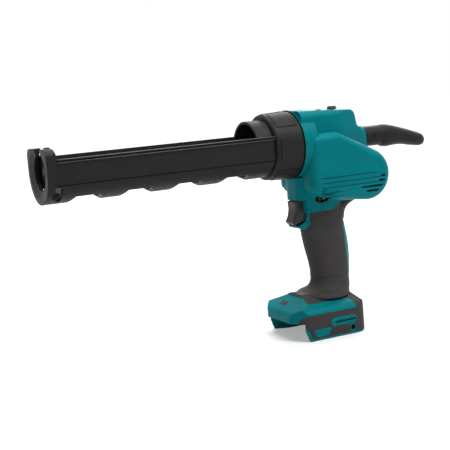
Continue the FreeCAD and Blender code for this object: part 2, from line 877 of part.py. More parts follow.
half_pinion = mm("pinion_width") / 2
pinion_teeth = shaped("pinion_teeth_form", gear(mm("pinion_teeth"), mm("rack_module"), 90, -half_pinion,
                                                mm("pinion_width"), mm("shaft_radius") - 0.5), PINION_AT)
pinion_shaft = cylinder("y", ("pinion_x", "plate_right - 1", "pinion_z"),
                        "shaft_radius", "bracket_start + bracket_width - plate_right + 1")
rack_pinion = fused("rack_pinion", pinion_teeth, pinion_shaft)

output_form = gear(mm("output_teeth"), mm("output_module"), TO_DRIVE, mm("output_start"), mm("output_width"),
                   mm("shaft_radius + shaft_gap"))
output_gear = shaped("output_gear", output_form, PINION_AT)

drive_form = gear(mm("drive_teeth"), mm("output_module"), meshing_angle(mm("drive_teeth"), TO_DRIVE + 180),
                  mm("output_start") - 0.5, mm("output_width") + 1, mm("pin_shaft_radius + shaft_gap"))
drive_hub_start = mm("output_start + output_width") + 0.5
drive_hub_length = mm("bracket_start + bracket_width") - drive_hub_start
drive_hub = bar_along(Y, Vector(0, drive_hub_start, 0), mm("gear_hub"), drive_hub_length)
drive_hub = drive_hub.cut(bar_along(Y, Vector(0, drive_hub_start, 0), mm("pin_shaft_radius + shaft_gap"), 10))
drive_pinion = shaped("drive_pinion", drive_form.fuse(drive_hub), DRIVE_AT)

first_form = gear(mm("first_teeth"), mm("first_module"), TO_MOTOR, mm("first_start"), mm("first_width"),
                  mm("pin_shaft_radius + shaft_gap"))
first_hub_start = mm("bracket_start + bracket_width + run_gap")
first_hub_length = mm("plate_left - run_gap") - first_hub_start
first_hub = bar_along(Y, Vector(0, first_hub_start, 0), mm("gear_hub"), first_hub_length)
first_hub = first_hub.cut(bar_along(Y, Vector(0, first_hub_start, 0), mm("pin_shaft_radius + shaft_gap"), 20))
reduction_gear = shaped("reduction_gear", first_form.fuse(first_hub), DRIVE_AT)

motor_pinion = shaped("motor_pinion", gear(mm("motor_teeth"), mm("first_module"),
                                           meshing_angle(mm("motor_teeth"), TO_MOTOR + 180),
                                           mm("first_start") - 0.4, mm("first_width") + 0.8,
                                           mm("motor_shaft_radius")), MOTOR_AT)

countershaft = cylinder("y", ("drive_x", "plate_right", "drive_z"), "pin_shaft_radius",
                        "plate_left + gear_plate - plate_right")
countershaft.Label = "countershaft"


# Gear plates, pillars and bearings

PILLARS = [("pillar_front_x", "pillar_front_z"), ("pillar_rear_x", "pillar_rear_z")]
PLATE_FOOT = [
    ("pillar_rear_x - 1.5 * pillar_radius", "pillar_rear_z - 1.8 * pillar_radius"),
    ("pillar_rear_x + 2 * pillar_radius", "pillar_rear_z - 1.8 * pillar_radius"),
    ("lock_x - lock_radius - 3", "lock_z + lock_radius + 2"),
    ("pillar_front_x + 1.5 * pillar_radius", "pillar_front_z - 2 * pillar_radius"),
    ("pillar_front_x + 1.5 * pillar_radius", "pillar_front_z + 2 * pillar_radius"),
]
PLATE_CREST = [
    ("pinion_x + 1.5 * bearing_radius", "pinion_z + 1.4 * bearing_radius"),
    ("pinion_x - 1.5 * bearing_radius", "pinion_z + 1.4 * bearing_radius"),
]
PLATE_BACK = [
    ("drive_x - 4", "drive_z + 2 * pin_shaft_radius"),
    ("drive_x - 4", "drive_z - pin_shaft_radius"),
    ("motor_x + can_radius + 1", "motor_z"),
]
PILLAR_HOLES = [(x, z, "pillar_screw + shaft_gap") for x, z in PILLARS]


COUNTERSHAFT_HOLE = ("drive_x", "drive_z", "pin_shaft_radius")
plate_right = padded("gear_plate_right", "XZ_Plane", [
    PLATE_FOOT + PLATE_CREST + PLATE_BACK,
    ("pinion_x", "pinion_z", "bearing_radius + shaft_gap"),
    COUNTERSHAFT_HOLE,
] + PILLAR_HOLES, "plate_right", "plate_right + gear_plate")
plate_left = padded("gear_plate_left", "XZ_Plane", [
    PLATE_FOOT + [("drive_x + 8", "drive_z + 3 * pin_shaft_radius")] + PLATE_BACK,
    COUNTERSHAFT_HOLE,
] + PILLAR_HOLES, "plate_left", "plate_left + gear_plate")

BRACKET_CORNERS = PLATE_FOOT + PLATE_CREST + [
    ("motor_x - 0.6 * can_radius", "motor_z + 0.75 * can_radius"),
    ("motor_x - 0.9 * can_radius", "motor_z"),
    ("motor_x - 0.4 * can_radius", "motor_z - 0.8 * can_radius"),
]
bracket = padded("motor_bracket", "XZ_Plane", [BRACKET_CORNERS] + PILLAR_HOLES + [
    ("pinion_x", "pinion_z", "bearing_radius + shaft_gap"),
    ("drive_x", "drive_z", "hub_clear"),
    ("motor_x", "motor_z", "motor_bearing_radius + shaft_gap"),
], "bracket_start", "bracket_start + bracket_width")


def pillar(x, z, low, high):
    """Hollow distance pillar between two plates."""
    post = cylinder("y", (x, low, z), "pillar_radius", f"({high}) - ({low})")
    hole = cylinder("y", (x, low, z), "pillar_screw + shaft_gap", f"({high}) - ({low})")
    return cut("pillar", post, hole)


PILLAR_SPANS = [
    ("plate_right + gear_plate", "bracket_start"),
    ("bracket_start + bracket_width", "plate_left"),
]
pillars = grouped("gear_pillars", *[
    pillar(x, z, low, high) for x, z in PILLARS for low, high in PILLAR_SPANS])


def pillar_bolt(number, x, z):
    """Bolt through both plates and a pillar, with its head on the left."""
    return revolved(f"pillar_bolt_{number}", "y", (x, "plate_right", z), [
        (0, 0),
        ("plate_left + gear_plate - plate_right + 2", 0),
        ("plate_left + gear_plate - plate_right + 2", "1.9 * pillar_screw"),
        ("plate_left + gear_plate - plate_right", "1.9 * pillar_screw"),
        ("plate_left + gear_plate - plate_right", "pillar_screw"),
        (0, "pillar_screw"),
    ])


bolts = grouped("pillar_bolts", *[pillar_bolt(number, x, z) for number, (x, z) in enumerate(PILLARS, 1)])


def bearing(number, x, z, middle, outer, inner, width):
    """Ball bearing as one ring with shield grooves."""
    return revolved(f"bearing_{number}", "y", (x, f"({middle}) - ({width}) / 2", z), [
        (0, inner),
        (width, inner),
        (width, f"0.35 * ({outer}) + 0.65 * ({inner})"),
        (f"({width}) - 0.4", f"0.35 * ({outer}) + 0.65 * ({inner})"),
        (f"({width}) - 0.4", f"0.75 * ({outer}) + 0.25 * ({inner})"),
        (width, f"0.75 * ({outer}) + 0.25 * ({inner})"),
        (width, outer),
        (0, outer),
    ])


PINION_BEARINGS = [("plate_right + gear_plate / 2", "bearing_width"),
                   ("bracket_start + bracket_width / 2", "bracket_width + seat_gap")]
pinion_bearings = grouped("pinion_bearings", *[
    bearing(number, "pinion_x", "pinion_z", middle, "bearing_radius", "shaft_radius + shaft_gap", width)
    for number, (middle, width) in enumerate(PINION_BEARINGS, 1)])


# Motor

motor_can = revolved("motor_can", "y", ("motor_x", "can_rear", "motor_z"), [
    (0, "can_radius - can_wall"),
    ("can_length - can_wall", "can_radius - can_wall"),
    ("can_length - can_wall", "motor_bearing_radius + shaft_gap"),
    ("can_length", "motor_bearing_radius + shaft_gap"),
    ("can_length", "can_radius"),
    (0, "can_radius"),
])


def magnet(start):
    """Arc magnet that lines part of the can."""
    length = mm("armature_length")
    low = Vector(mm("motor_x"), mm("can_rear") + 5, mm("motor_z"))
    outer = mm("can_radius - can_wall - seat_gap")
    arc = Part.makeCylinder(outer, length, low, Y, 130)
    arc = arc.cut(bar_along(Y, low, outer - mm("magnet_wall"), length))
    arc.rotate(low, Y, start)
    return arc


magnets = shaped("motor_magnets", Part.makeCompound([magnet(25), magnet(205)]))

end_cap = revolved("motor_end_cap", "y", ("motor_x", "can_rear", "motor_z"), [
    (0, "can_radius"),
    ("-end_cap_width", "can_radius - 2"),
    ("-end_cap_width", "motor_bearing_radius + shaft_gap"),
    (2, "motor_bearing_radius + shaft_gap"),
    (2, "can_radius - can_wall - seat_gap"),
    (0, "can_radius - can_wall - seat_gap"),
])

motor_bearings = grouped("motor_bearings", *[
    bearing(number, "motor_x", "motor_z", middle, "motor_bearing_radius",
            "motor_shaft_radius + shaft_gap", "3.6")
    for number, middle in ((3, "can_front - 0.4"), (4, "can_rear - 2"))])

motor_shaft = cylinder("y", ("motor_x", "can_rear - end_cap_width - fan_width - 2", "motor_z"),
                       "motor_shaft_radius",
                       "can_length + end_cap_width + fan_width + 2 + plate_left - can_front - 1")
motor_shaft.Label = "motor_shaft"


def armature():
    """Slotted iron stack with wound ends and a commutator."""
    low = mm("can_rear") + 7
    length = mm("armature_length") - 4
    radius = mm("armature_radius")
    stack = bar_along(Y, Vector(0, low, 0), radius, length)
    for slot in range(5):
        angle = 2 * math.pi * slot / 5
        groove = block_between((radius - 5, low, -1.2), (radius + 1, low + length, 1.2))
        groove.rotate(Vector(), Y, math.degrees(angle))
        stack = stack.cut(groove)
    commutator = bar_along(Y, Vector(0, low - 4, 0), 0.45 * radius, 4.5)
    bore = bar_along(Y, Vector(0, low - 5, 0), mm("motor_shaft_radius"), length + 10)
    return stack.fuse(commutator).cut(bore)


motor_armature = shaped("motor_armature", armature(), MOTOR_AT)


def fan():
    """Cooling fan: hub, back disc and straight blades."""
    low = mm("can_rear - end_cap_width - fan_width") - 1
    width = mm("fan_width")
    radius = mm("fan_radius")
    wheel = bar_along(Y, Vector(0, low, 0), radius, 1.2)
    wheel = wheel.fuse(bar_along(Y, Vector(0, low, 0), 0.35 * radius, width))
    count = int(mm("fan_blades"))
    for blade in range(count):
        vane = block_between((0.3 * radius, low, -0.5), (0.96 * radius, low + width, 0.5))
        vane.rotate(Vector(), Y, 360 * blade / count)
        wheel = wheel.fuse(vane)
    return wheel.cut(bar_along(Y, Vector(0, low - 1, 0), mm("motor_shaft_radius"), width + 2))


cooling_fan = shaped("cooling_fan", fan(), MOTOR_AT)


# Housing forms: each takes an inset, so that the cavity follows the outside

def front_form(inset):
    """Round front of the housing behind the screw ring."""
    front = mm("case_front") - inset
    return bar_along(-X, Vector(front, 0, AXIS), mm("front_radius") - inset, mm("front_length") + 6)


def top_form(inset):
    """Upper block around the push rod, drawn in towards the handle."""
    half, narrow = mm("top_half_width"), mm("top_rear_half")
    front, rear, back = mm("case_front") - 2, mm("top_rear"), mm("top_back")
    top, low = AXIS + mm("top_rise"), AXIS - 20
    soft = mm("top_round")
    waist = mm("top_waist")
    plan = [(front, -half, 0), (front, half, 0), (waist, half, 24), (rear, narrow, 7), (rear, -narrow, 7),
            (waist, -half, 24)]
    side = [(front, low, 0), (front, top, 0), (back, top - mm("top_fall"), soft), (back - 4, AXIS + 14, 6),
            (rear, AXIS + 3, 4), (rear, low, 0)]
    across = [(-half, low, 0), (half, low, 0), (half, top, soft), (-half, top, soft)]
    return three_way(plan, side, across, inset)


def drum_touch(point, centre, radius, turn):
    """Point of the drum where a line from outside just touches it."""
    span = math.hypot(point[0] - centre[0], point[1] - centre[1])
    angle = math.atan2(point[1] - centre[1], point[0] - centre[0]) + turn * math.acos(radius / span)
    return centre[0] + radius * math.cos(angle), centre[1] + radius * math.sin(angle)


def bulge_form(inset):
    """Motor and gear bulge: a drum at the rear that runs forward to a shoulder below the rod."""
    centre = (mm("motor_x"), mm("motor_z"))
    radius = mm("drum_radius") - inset
    half = mm("bulge_half_width") - inset
    soft = mm("bulge_round") + 0.5
    front, floor = mm("bulge_front") - inset, mm("bulge_floor") + inset
    shoulder = (mm("bulge_shoulder") - 0.24 * inset, AXIS + mm("bulge_rise") - inset)
    belly = (mm("bulge_shoulder") + 6, centre[1] - radius + 4.5)
    upper, lower = drum_touch(shoulder, centre, radius, 1), drum_touch(belly, centre, radius, -1)
    outline = rounded_wire([(*lower, 0), (*belly, 20), (front, floor, soft), (front, shoulder[1], soft),
                            (*shoulder, soft), (*upper, 0)], lambda p: Vector(p.x, -half, p.y))
    chord = Vector((upper[0] + lower[0]) / 2, -half, (upper[1] + lower[1]) / 2)
    edges = [edge for edge in outline.Edges if (edge.CenterOfMass - chord).Length > 1e-3]
    edges.append(Part.Arc(Vector(upper[0], -half, upper[1]), Vector(centre[0] - radius, -half, centre[1]),
                          Vector(lower[0], -half, lower[1])).toShape())
    solid = Part.Face(Part.Wire(Part.__sortEdges__(edges))).extrude(Y * (2 * half))
    return round_ends(solid, mm("bulge_round") - inset,
                      lambda edge: abs(abs(edge.CenterOfMass.y) - half) < 1e-6)


def neck_form(inset):
    """Neck between the bulge and the grip, stepped over the trigger and raised at the back."""
    half = mm("neck_half_width") - inset
    rear, front = mm("neck_rear") + inset, mm("neck_front") - inset
    low, high = mm("neck_bottom"), mm("neck_top") - inset
    trigger_top = mm("trigger_top") + 1 + inset
    behind = mm("trigger_rear") + 10 - inset
    corners = [(behind, low, 0), (behind, trigger_top, 0), (front, trigger_top, 0), (front, high, 0),
               (rear, high, 0), (rear, low + 7.5, 0), (-26, low + 7.5, 0), (-16, low, 0)]
    block = side_slab(corners, -half, half)
    return round_ends(block, mm("neck_round") - inset,
                      lambda edge: abs(abs(edge.CenterOfMass.y) - half) < 1e-6
                      and abs(edge.CenterOfMass.x - front) < 1e-6)


# Share of the way up from the skirt to the trigger, middle in X and half depth
GRIP_LINE = [(1.0, -14.0, 26.0), (0.634, -14.5, 25.4), (0.39, -17.6, 25.2), (0.22, -19.4, 23.6),
             (0.0, -20.0, 22.0)]


def grip_level(share):
    """Height of a place along the grip, from the skirt up to the trigger."""
    low, high = mm("skirt_top"), mm("trigger_top") - 1
    return low + share * (high - low)


def grip_form(inset):
    """Oval grip, narrowest above the foot."""
    half = mm("grip_half_width") - inset
    sections = [ellipse_wire(x, grip_level(share), depth - inset, half) for share, x, depth in GRIP_LINE]
    return Part.makeLoft(sections, True, False)


# Height over the lower edge of the neck, share of the saddle's reach and half width against the grip's
SADDLE_LINE = [(-14.0, -0.02, -0.4), (-7.0, 0.05, -0.6), (-1.5, 0.22, -2.0), (1.7, 0.47, -3.6),
               (5.1, 0.94, -6.0), (11.0, 1.0, -7.0)]


def saddle_form():
    """Ledge of the soft grip that rests on the hand, run back under the motor drum."""
    half, low, reach = mm("grip_half_width"), mm("neck_bottom"), mm("saddle_reach")
    x, depth = GRIP_LINE[0][1:]
    sections = [ellipse_wire(x - share * reach / 2, low + rise, depth + share * reach / 2, half + width)
                for rise, share, width in SADDLE_LINE]
    return Part.makeLoft(sections, True, False)


def skirt_form(inset):
    """Flare from the grip out to the top of the foot."""
    half = mm("grip_half_width") - inset
    top, low = mm("skirt_top"), mm("skirt_low")
    x, depth = GRIP_LINE[-1][1:]
    flare = [ellipse_wire(x, top + 2, depth - 0.3 - inset, half - 0.3),
             ellipse_wire(x + 0.6, top - 5, depth - 0.2 - inset, half + 0.4),
             ellipse_wire(x + 2.2, top - 10, depth + 1.3 - inset, half + 2),
             ellipse_wire(x + 6, top - 13.5, depth + 4 - inset, half + 5.5),
             ellipse_wire(x + 9.5, top - 16, depth + 6 - inset, half + 9.5),
             ellipse_wire(x + 10, low, depth + 6.5 - inset, half + 11.5)]
    return Part.makeLoft(flare, True, False)


def foot_plan(inset):
    """Plan corners of the foot: a rounded box drawn in to a narrow nose."""
    half = mm("foot_half_width") - inset
    front, rear = mm("foot_front") - inset, mm("foot_rear") + inset
    nose = mm("nose_half_width") - 0.5 * inset
    soft = mm("foot_round") - inset
    cheek, cheek_soft, nose_soft = mm("rail_front") + 3, mm("cheek_round"), mm("nose_round")
    return [(rear, -half, soft), (cheek, -half, cheek_soft), (front, -nose, nose_soft),
            (front, nose, nose_soft), (cheek, half, cheek_soft), (rear, half, soft)]


def foot_side():
    """Side outline of the foot, from the nose over the top to the sloped back."""
    front, rear, top = mm("foot_front"), mm("foot_rear"), mm("foot_height")
    step, step_top = mm("nose_step"), mm("nose_step_height")
    return [(front, mm("nose_height"), mm("nose_edge_round")), (step + 0.3, step_top, 0), (step, top, 1.5),
            (rear + 13, top, 5),
            (rear + 5, 0.7 * top, 14), (rear, 14, 12), (rear, 0, 0), (front, 0, 0)]


def foot_form(inset):
    """Foot above the battery."""
    half = mm("foot_half_width")
    top = mm("foot_height")
    cheek = mm("cheek_height")
    crown, shoulder, level = mm("crown_half_width"), mm("crown_shoulder"), mm("crown_height")
    soft = mm("foot_top_round")
    across = [(-half, 0, 0), (half, 0, 0), (half, cheek, soft), (shoulder, level, 12), (crown, top, soft),
              (-crown, top, soft), (-shoulder, level, 12), (-half, cheek, soft)]
    solid = three_way(foot_plan(0), foot_side(), across, inset)
    low = mm("foot_roof") + (mm("foot_roof_wall") if inset else 0)
    return solid.common(block_between((-FAR, -FAR, low), (FAR, FAR, FAR)))


def rail_form():
    """Side rails and rear stop that the battery slides between."""
    roof = mm("foot_roof") + 1
    front, slope = mm("rail_front"), mm("rail_slope")
    rear = mm("foot_rear")
    solid = plan_slab(foot_plan(0), 0, roof)
    side = side_slab([(rear + 6, 0, 6), (front, 0, 0), (front + 0.45 * slope, 0.55 * roof, 8),
                      (front + slope + 3, roof, 0), (rear + 1.5, roof, 0), (rear, 14, 14), (rear, 6, 4)],
                     -FAR, FAR)
    solid = solid.common(side)
    lip = mm("rail_lip_height")
    inner = mm("foot_half_width - rail_wall")
    stop = mm("rail_stop")
    channel = block_between((stop, -inner, lip), (FAR, inner, mm("foot_roof")))
    mouth = block_between((stop, -inner + mm("rail_lip"), -1), (FAR, inner - mm("rail_lip"), lip + 1))
    thin, low = mm("foot_half_width - rail_edge"), inner - mm("rail_lip")
    lead = plan_slab([(front - mm("rail_lead"), low, 0), (front + 2, thin, 0), (FAR, thin, 0), (FAR, low, 0)],
                     -1, mm("foot_roof"))
    return solid.cut([channel, mouth, lead, lead.mirror(Vector(), Y)])


def side_half(shape, left):
    """One half of a shape, split on the tool's middle plane."""
    low = 0 if left else -FAR
    return shape.common(block_between((-FAR, low, -FAR), (FAR, low + FAR, FAR)))


def trigger_bay():
    """Room that the trigger moves in."""
    half = mm("trigger_half_width + run_gap")
    behind = mm("trigger_rear - trigger_travel") - 1
    return block_between((behind, -half, mm("trigger_bottom") - 1), (FAR, half, mm("trigger_top") + 1))


# Rubber covers on the grip and the foot

def guard_form():
    """Lip of the housing that runs down behind the trigger and under it."""
    low = mm("trigger_bottom")
    back = mm("trigger_rear")
    corners = [(back + 1.5, low + 23, 0), (back + 9, low + 23, 0), (back + 7, low + 9, 4),
               (back + 10, low + 2.5, 3), (back + 18, low - 1, 1), (back + 16, low - 3.6, 1.2),
               (back + 10.5, low - 5.5, 4), (back + 3.5, low - 0.5, 3), (back + 3.5, low + 8, 4),
               (back + 1.5, low + 13, 4)]
    half = mm("trigger_half_width") + 2
    return side_slab(corners, -half, half)


def grip_cover():
    """Rubber skin of the grip that spreads over the foot, with a bare stripe along each side of the back."""
    wall = mm("cover_wall")
    skin = grip_form(0).multiFuse([skirt_form(0), foot_form(0)])
    skin = skin.cut([grip_form(wall), skirt_form(wall), foot_form(wall), neck_form(0), bulge_form(0),
                     guard_form()])
    edge, low, high = mm("skirt_edge"), mm("bumper_high + seat_gap"), mm("neck_bottom") + 7
    front, rear = mm("nose_step") + 0.1, mm("rubber_rear")
    band = side_slab([(-FAR, low, 0), (rear, low, 2), (rear + 2, edge, 4), (front, edge, 0), (front, high, 0),
                      (-FAR, high, 0)], -FAR, FAR)
    width, foot_end, neck_end = mm("stripe_width"), mm("skirt_top") - 6, mm("neck_bottom") - 13.5
    stripe = side_slab([(-39.5, foot_end, 0), (-39.5 + 0.3 * width, foot_end, 0),
                        (-42 + 0.95 * width, foot_end + 33, 30), (-41.5 + width, neck_end + 4, 0),
                        (-41.5, neck_end, 0), (-42, foot_end + 28, 30)], 5, 40)
    saddle = saddle_form().cut([grip_form(wall), neck_form(0), bulge_form(0)])
    skin = skin.common(band).fuse(saddle)
    return skin.cut([stripe, stripe.mirror(Vector(), Y), trigger_bay()])


def foot_bumper():
    """Rubber panels low on the foot's sides and up its back, open at the hook slot and the hook screw."""
    low, high = mm("bumper_low"), mm("bumper_high")
    wall = mm("bumper_wall")
    foot = foot_form(0).fuse(rail_form())
    rear, top = mm("foot_rear") + wall, mm("foot_height")
    behind = side_slab([(rear, -1, 0), (FAR, -1, 0), (FAR, FAR, 0), (rear + 13, FAR, 0), (rear + 13, top, 0),
                        (rear + 5, 0.7 * top, 14), (rear, 14, 12)], -FAR, FAR)
    skin = foot.cut(plan_slab(foot_plan(wall), -1, FAR).common(behind))
    front, slope = mm("rail_front"), mm("rail_slope")
    region = side_slab([(-FAR, low, 0), (front - 2, low, 0), (front + 1, low + 9, 6),
                        (front + slope - 4.5, 15.5, 3), (front + slope - 0.5, 19.3, 1),
                        (front + slope - 2, 23.5, 3), (front + 3, high, 4), (-FAR, high, 0)], -FAR, FAR)
    skin = skin.common(region)
    inner = mm("foot_half_width - rail_wall")
    channel = block_between((mm("rail_stop"), -inner, -1), (FAR, inner, mm("foot_roof")))
    hook = bar_along(Y, Vector(mm("hook_x"), -FAR, mm("hook_z")), mm("insert_radius") + 1.4, 2 * FAR)
    slot = side_slab([(-25, 11.5, 3), (5, 11.5, 3), (5, 20.5, 3), (-25, 20.5, 3)], -FAR, FAR)
    badge = side_slab([(9.5, 3.5, 1.5), (24, 3.5, 1.5), (27.5, 11.5, 1.5), (5, 11.5, 1.5)], -FAR, FAR)
    return skin.cut([channel, hook, slot, badge])


GRIP_COVER = grip_cover()
FOOT_BUMPER = foot_bumper()


# Housing halves

CASE_SCREWS = [
    (13.0, mm("bulge_floor") + 0.5),
    (4.0, AXIS + 25),
    (-44.0, AXIS + 16.5),
    (-4.0, grip_level(0.524)),
    (-32.0, mm("skirt_top") + 5),
    (-30.0, mm("foot_height") - 13.5),
    (21.0, mm("foot_height") - 16),
]


def screw_posts():
    """Screw posts between the two halves."""
    half = mm("bulge_half_width")
    return [bar_along(Y, Vector(x, -half, z), mm("boss_radius"), 2 * half) for x, z in CASE_SCREWS]


def screw_holes():
    """Holes through the posts, with a head pocket on the right."""
    half = mm("bulge_half_width")
    holes = []
    for x, z in CASE_SCREWS:
        holes.append(bar_along(Y, Vector(x, -half - 2, z), mm("case_screw_radius + shaft_gap"), half + 12))
        holes.append(bar_along(Y, Vector(x, -half - 2, z), mm("case_head_radius + seat_gap"),
                               half + 2 - mm("case_head_depth") - 6))
    return holes


def vent_slots():
    """Cooling slots through both sides of the motor drum."""
    height = mm("vent_height")
    x, z = mm("motor_x"), mm("motor_z")
    rows = [(-18.5, -12.0, -2.5), (-17.0, -9.0, -7.3), (-14.0, 12.5, -12.4), (-8.6, 6.5, -17.0)]
    slots = []
    for start, end, level in rows:
        low = z + level - height / 2
        soft = 0.45 * height
        corners = [(x + start, low, soft), (x + end, low, soft), (x + end, low + height, soft),
                   (x + start, low + height, soft)]
        slots.append(side_slab(corners, -FAR, FAR))
    return slots


def lock_dish(side):
    """Oval finger dish round the lock-off button."""
    depth = mm("dish_depth")
    long_half, short_half = mm("dish_length") / 2, mm("dish_height") / 2
    surface = mm("neck_half_width")
    centre = Vector(mm("lock_x"), side * (surface + 1), mm("lock_z"))
    ball = Part.makeSphere(1.0)
    stretch = FreeCAD.Matrix(long_half, 0, 0, centre.x,
                             0, depth + 1, 0, centre.y,
                             0, 0, short_half, centre.z,
                             0, 0, 0, 1)
    return ball.transformGeometry(stretch)


def hook_slot(side):
    """Groove for the belt hook's tab."""
    low, high = sorted((side * mm("foot_half_width - 2.6"), side * mm("foot_half_width + 1")))
    return side_slab([(-24, 14.6, 0.8), (1, 14.6, 0.8), (1, 16.8, 0.8), (-24, 16.8, 0.8)], low, high)


NOSE_RUN = Vector(mm("foot_front - nose_step"), 0, mm("nose_height - nose_step_height")).normalize()
LED_WAY = Vector(-NOSE_RUN.z, 0, NOSE_RUN.x)
LED_SPOT = Vector(mm("nose_step"), mm("led_side"), mm("nose_step_height")) + NOSE_RUN * mm("led_down")


def lamp_block(margin, low, high):
    """Block square to the nose at the lamp, larger than the window by a margin."""
    wide, tall = Y * (mm("led_half_width") + margin), NOSE_RUN * (mm("led_half_height") + margin)
    base = LED_SPOT + LED_WAY * low
    corners = [base - wide - tall, base + wide - tall, base + wide + tall, base - wide + tall]
    return Part.Face(Part.makePolygon(corners + corners[:1])).extrude(LED_WAY * (high - low))


def openings():
    """Every way through the housing."""
    rod = mm("bush_radius + seat_gap")
    nose_hole = bar_along(-X, Vector(mm("case_front") + 1, 0, AXIS), mm("flange_radius + seat_gap"),
                          mm("wall") + 3)
    rod_hole = bar_along(X, Vector(mm("top_rear") - 1, 0, AXIS), rod, mm("rear_bush_length") + 2)
    ring_room = bar_along(X, Vector(mm("case_front"), 0, AXIS),
                          mm("ring_radius + ring_flare + pad_rise + run_gap"), FAR)
    lock = bar_along(Y, Vector(mm("lock_x"), -FAR, mm("lock_z")), mm("lock_radius + run_gap"), 2 * FAR)
    dial = bar_along(Z, Vector(mm("dial_x"), 0, AXIS), mm("dial_stem + run_gap"), FAR)
    block = mm("block_half_width + seat_gap")
    terminals = block_between((mm("block_rear") - 0.1, -block, 1),
                              (mm("block_front") + 0.1, block, mm("block_top")))
    led = lamp_block(mm("seat_gap"), -10, 10)
    hooks = bar_along(Y, Vector(mm("hook_x"), -FAR, mm("hook_z")), mm("insert_radius + seat_gap"), 2 * FAR)
    throat = Part.Face(ellipse_wire(-12, mm("skirt_low") - 4, 20, 16)).extrude(Z * 8)
    pieces = [nose_hole, ring_room, rod_hole, trigger_bay(), lock, dial, terminals, led, hooks, throat]
    pieces += [hook_slot(-1), hook_slot(1), lock_dish(-1), lock_dish(1)]
    return pieces + vent_slots() + screw_holes()


def gear_rests():
    """Posts from the side walls that clamp the gear plates."""
    half = mm("bulge_half_width - wall") + 1
    posts = []
    for x, z in PILLARS:
        left = mm("plate_left + gear_plate") + 2 + mm("seat_gap")
        posts.append(bar_along(Y, Vector(mm(x), left, mm(z)), mm("pillar_radius"), half - left))
        right = mm("plate_right") - mm("seat_gap")
        posts.append(bar_along(Y, Vector(mm(x), -half, mm(z)), mm("pillar_radius"), right + half))
    return posts


def housing():
    """Both halves of the housing in one piece, before the split."""
    wall = mm("wall")
    core = mm("cover_wall")
    shell_wall = core + 2.4
    forms = [front_form(0), top_form(0), bulge_form(0), neck_form(0), grip_form(0), skirt_form(0),
             foot_form(0), guard_form()]
    outside = forms[0].multiFuse(forms[1:] + [rail_form()])
    hollows = [front_form(wall), top_form(wall), bulge_form(wall), neck_form(wall), grip_form(shell_wall),
               skirt_form(shell_wall), foot_form(wall)]
    posts = outside.common(Part.makeCompound(screw_posts()))
    shell = outside.cut(hollows)
    bush_boss = bar_along(X, Vector(mm("top_rear") + 1, 0, AXIS), mm("bush_radius + bush_wall"),
                          mm("rear_bush_length") - 1)
    shell = shell.multiFuse([posts, bush_boss] + gear_rests())
    return shell.cut([GRIP_COVER, FOOT_BUMPER] + openings())


HOUSING = housing()
housing_left = shaped("housing_left", side_half(HOUSING, True))
housing_right = shaped("housing_right", side_half(HOUSING, False))
cover_left = shaped("grip_cover_left", side_half(GRIP_COVER, True))
cover_right = shaped("grip_cover_right", side_half(GRIP_COVER, False))
bumper_left = shaped("foot_bumper_left", side_half(FOOT_BUMPER, True))
bumper_right = shaped("foot_bumper_right", side_half(FOOT_BUMPER, False))


# Trigger, switch and buttons

def trigger_blade():
    """Finger blade with a hollow front face and a lip at its foot."""
    front, rear = mm("trigger_front"), mm("trigger_rear")
    top, low = mm("trigger_top"), mm("trigger_bottom")
    half, stem = mm("trigger_half_width"), mm("stem_top")
    soft = mm("trigger_round")
    blade = side_slab([(front - 0.6, top, 0), (front - 1.4, top - 9, 20), (front + 0.6, low + 8, 8),
                       (front + 3, low + 4, soft + 0.1), (front + 1.6, low, soft + 0.1), (rear, low + 4, 0),
                       (rear, stem, 0), (rear + 9, stem, 0), (rear + 10, top, 0)], -half, half)
    return round_ends(blade, soft, lambda edge: abs(abs(edge.CenterOfMass.y) - half) < 1e-6
                      and edge.CenterOfMass.x > front - 3)


plunger = cylinder("x", ("trigger_rear - plunger_length", 0, "(switch_low + switch_high) / 2"),
                   "plunger_radius", "plunger_length + 1")
trigger = fused("trigger", shaped("trigger_form", trigger_blade()), plunger)

switch_box = padded("switch_box", "XZ_Plane", [[
    ("switch_rear", "switch_low"),
    ("switch_front", "switch_low"),
    ("switch_front", "switch_high"),
    ("switch_rear", "switch_high"),
]], "-switch_half_width", "switch_half_width")
plunger_bore = cylinder("x", ("trigger_rear - plunger_length - trigger_travel - 1", 0,
                              "(switch_low + switch_high) / 2"),
                        "plunger_radius + shaft_gap", "plunger_length + trigger_travel")
switch_body = cut("switch_body", switch_box, plunger_bore)


def trigger_spring():
    """Compression spring round the plunger, as one unbroken helix of eight-sided wire."""
    wire = mm("spring_wire") / 2
    length = mm("trigger_rear - switch_front") - 2 * wire - 0.2
    turns = mm("spring_turns")
    helix = Part.makeHelix(length / turns, length, mm("spring_radius"))
    angles = [k * math.pi / 4 for k in range(8)]
    corners = [Vector(mm("spring_radius") + wire * math.cos(a), 0, wire * math.sin(a)) for a in angles]
    section = Part.makePolygon(corners + corners[:1])
    coil = Part.Wire(helix.Edges).makePipeShell([section], True, True)
    coil.rotate(Vector(), Y, 90)
    return coil


spring = shaped("trigger_spring", trigger_spring(),
                ("switch_front + spring_wire / 2 + 0.1", 0, "(switch_low + switch_high) / 2"))

lock_button = revolved("lock_off_button", "y", ("lock_x", "lock_right", "lock_z"), [
    (0, 0),
    ("lock_length", 0),
    ("lock_length", "lock_radius - 1"),
    ("lock_length - 1", "lock_radius"),
    (1, "lock_radius"),
    (0, "lock_radius - 1"),
])


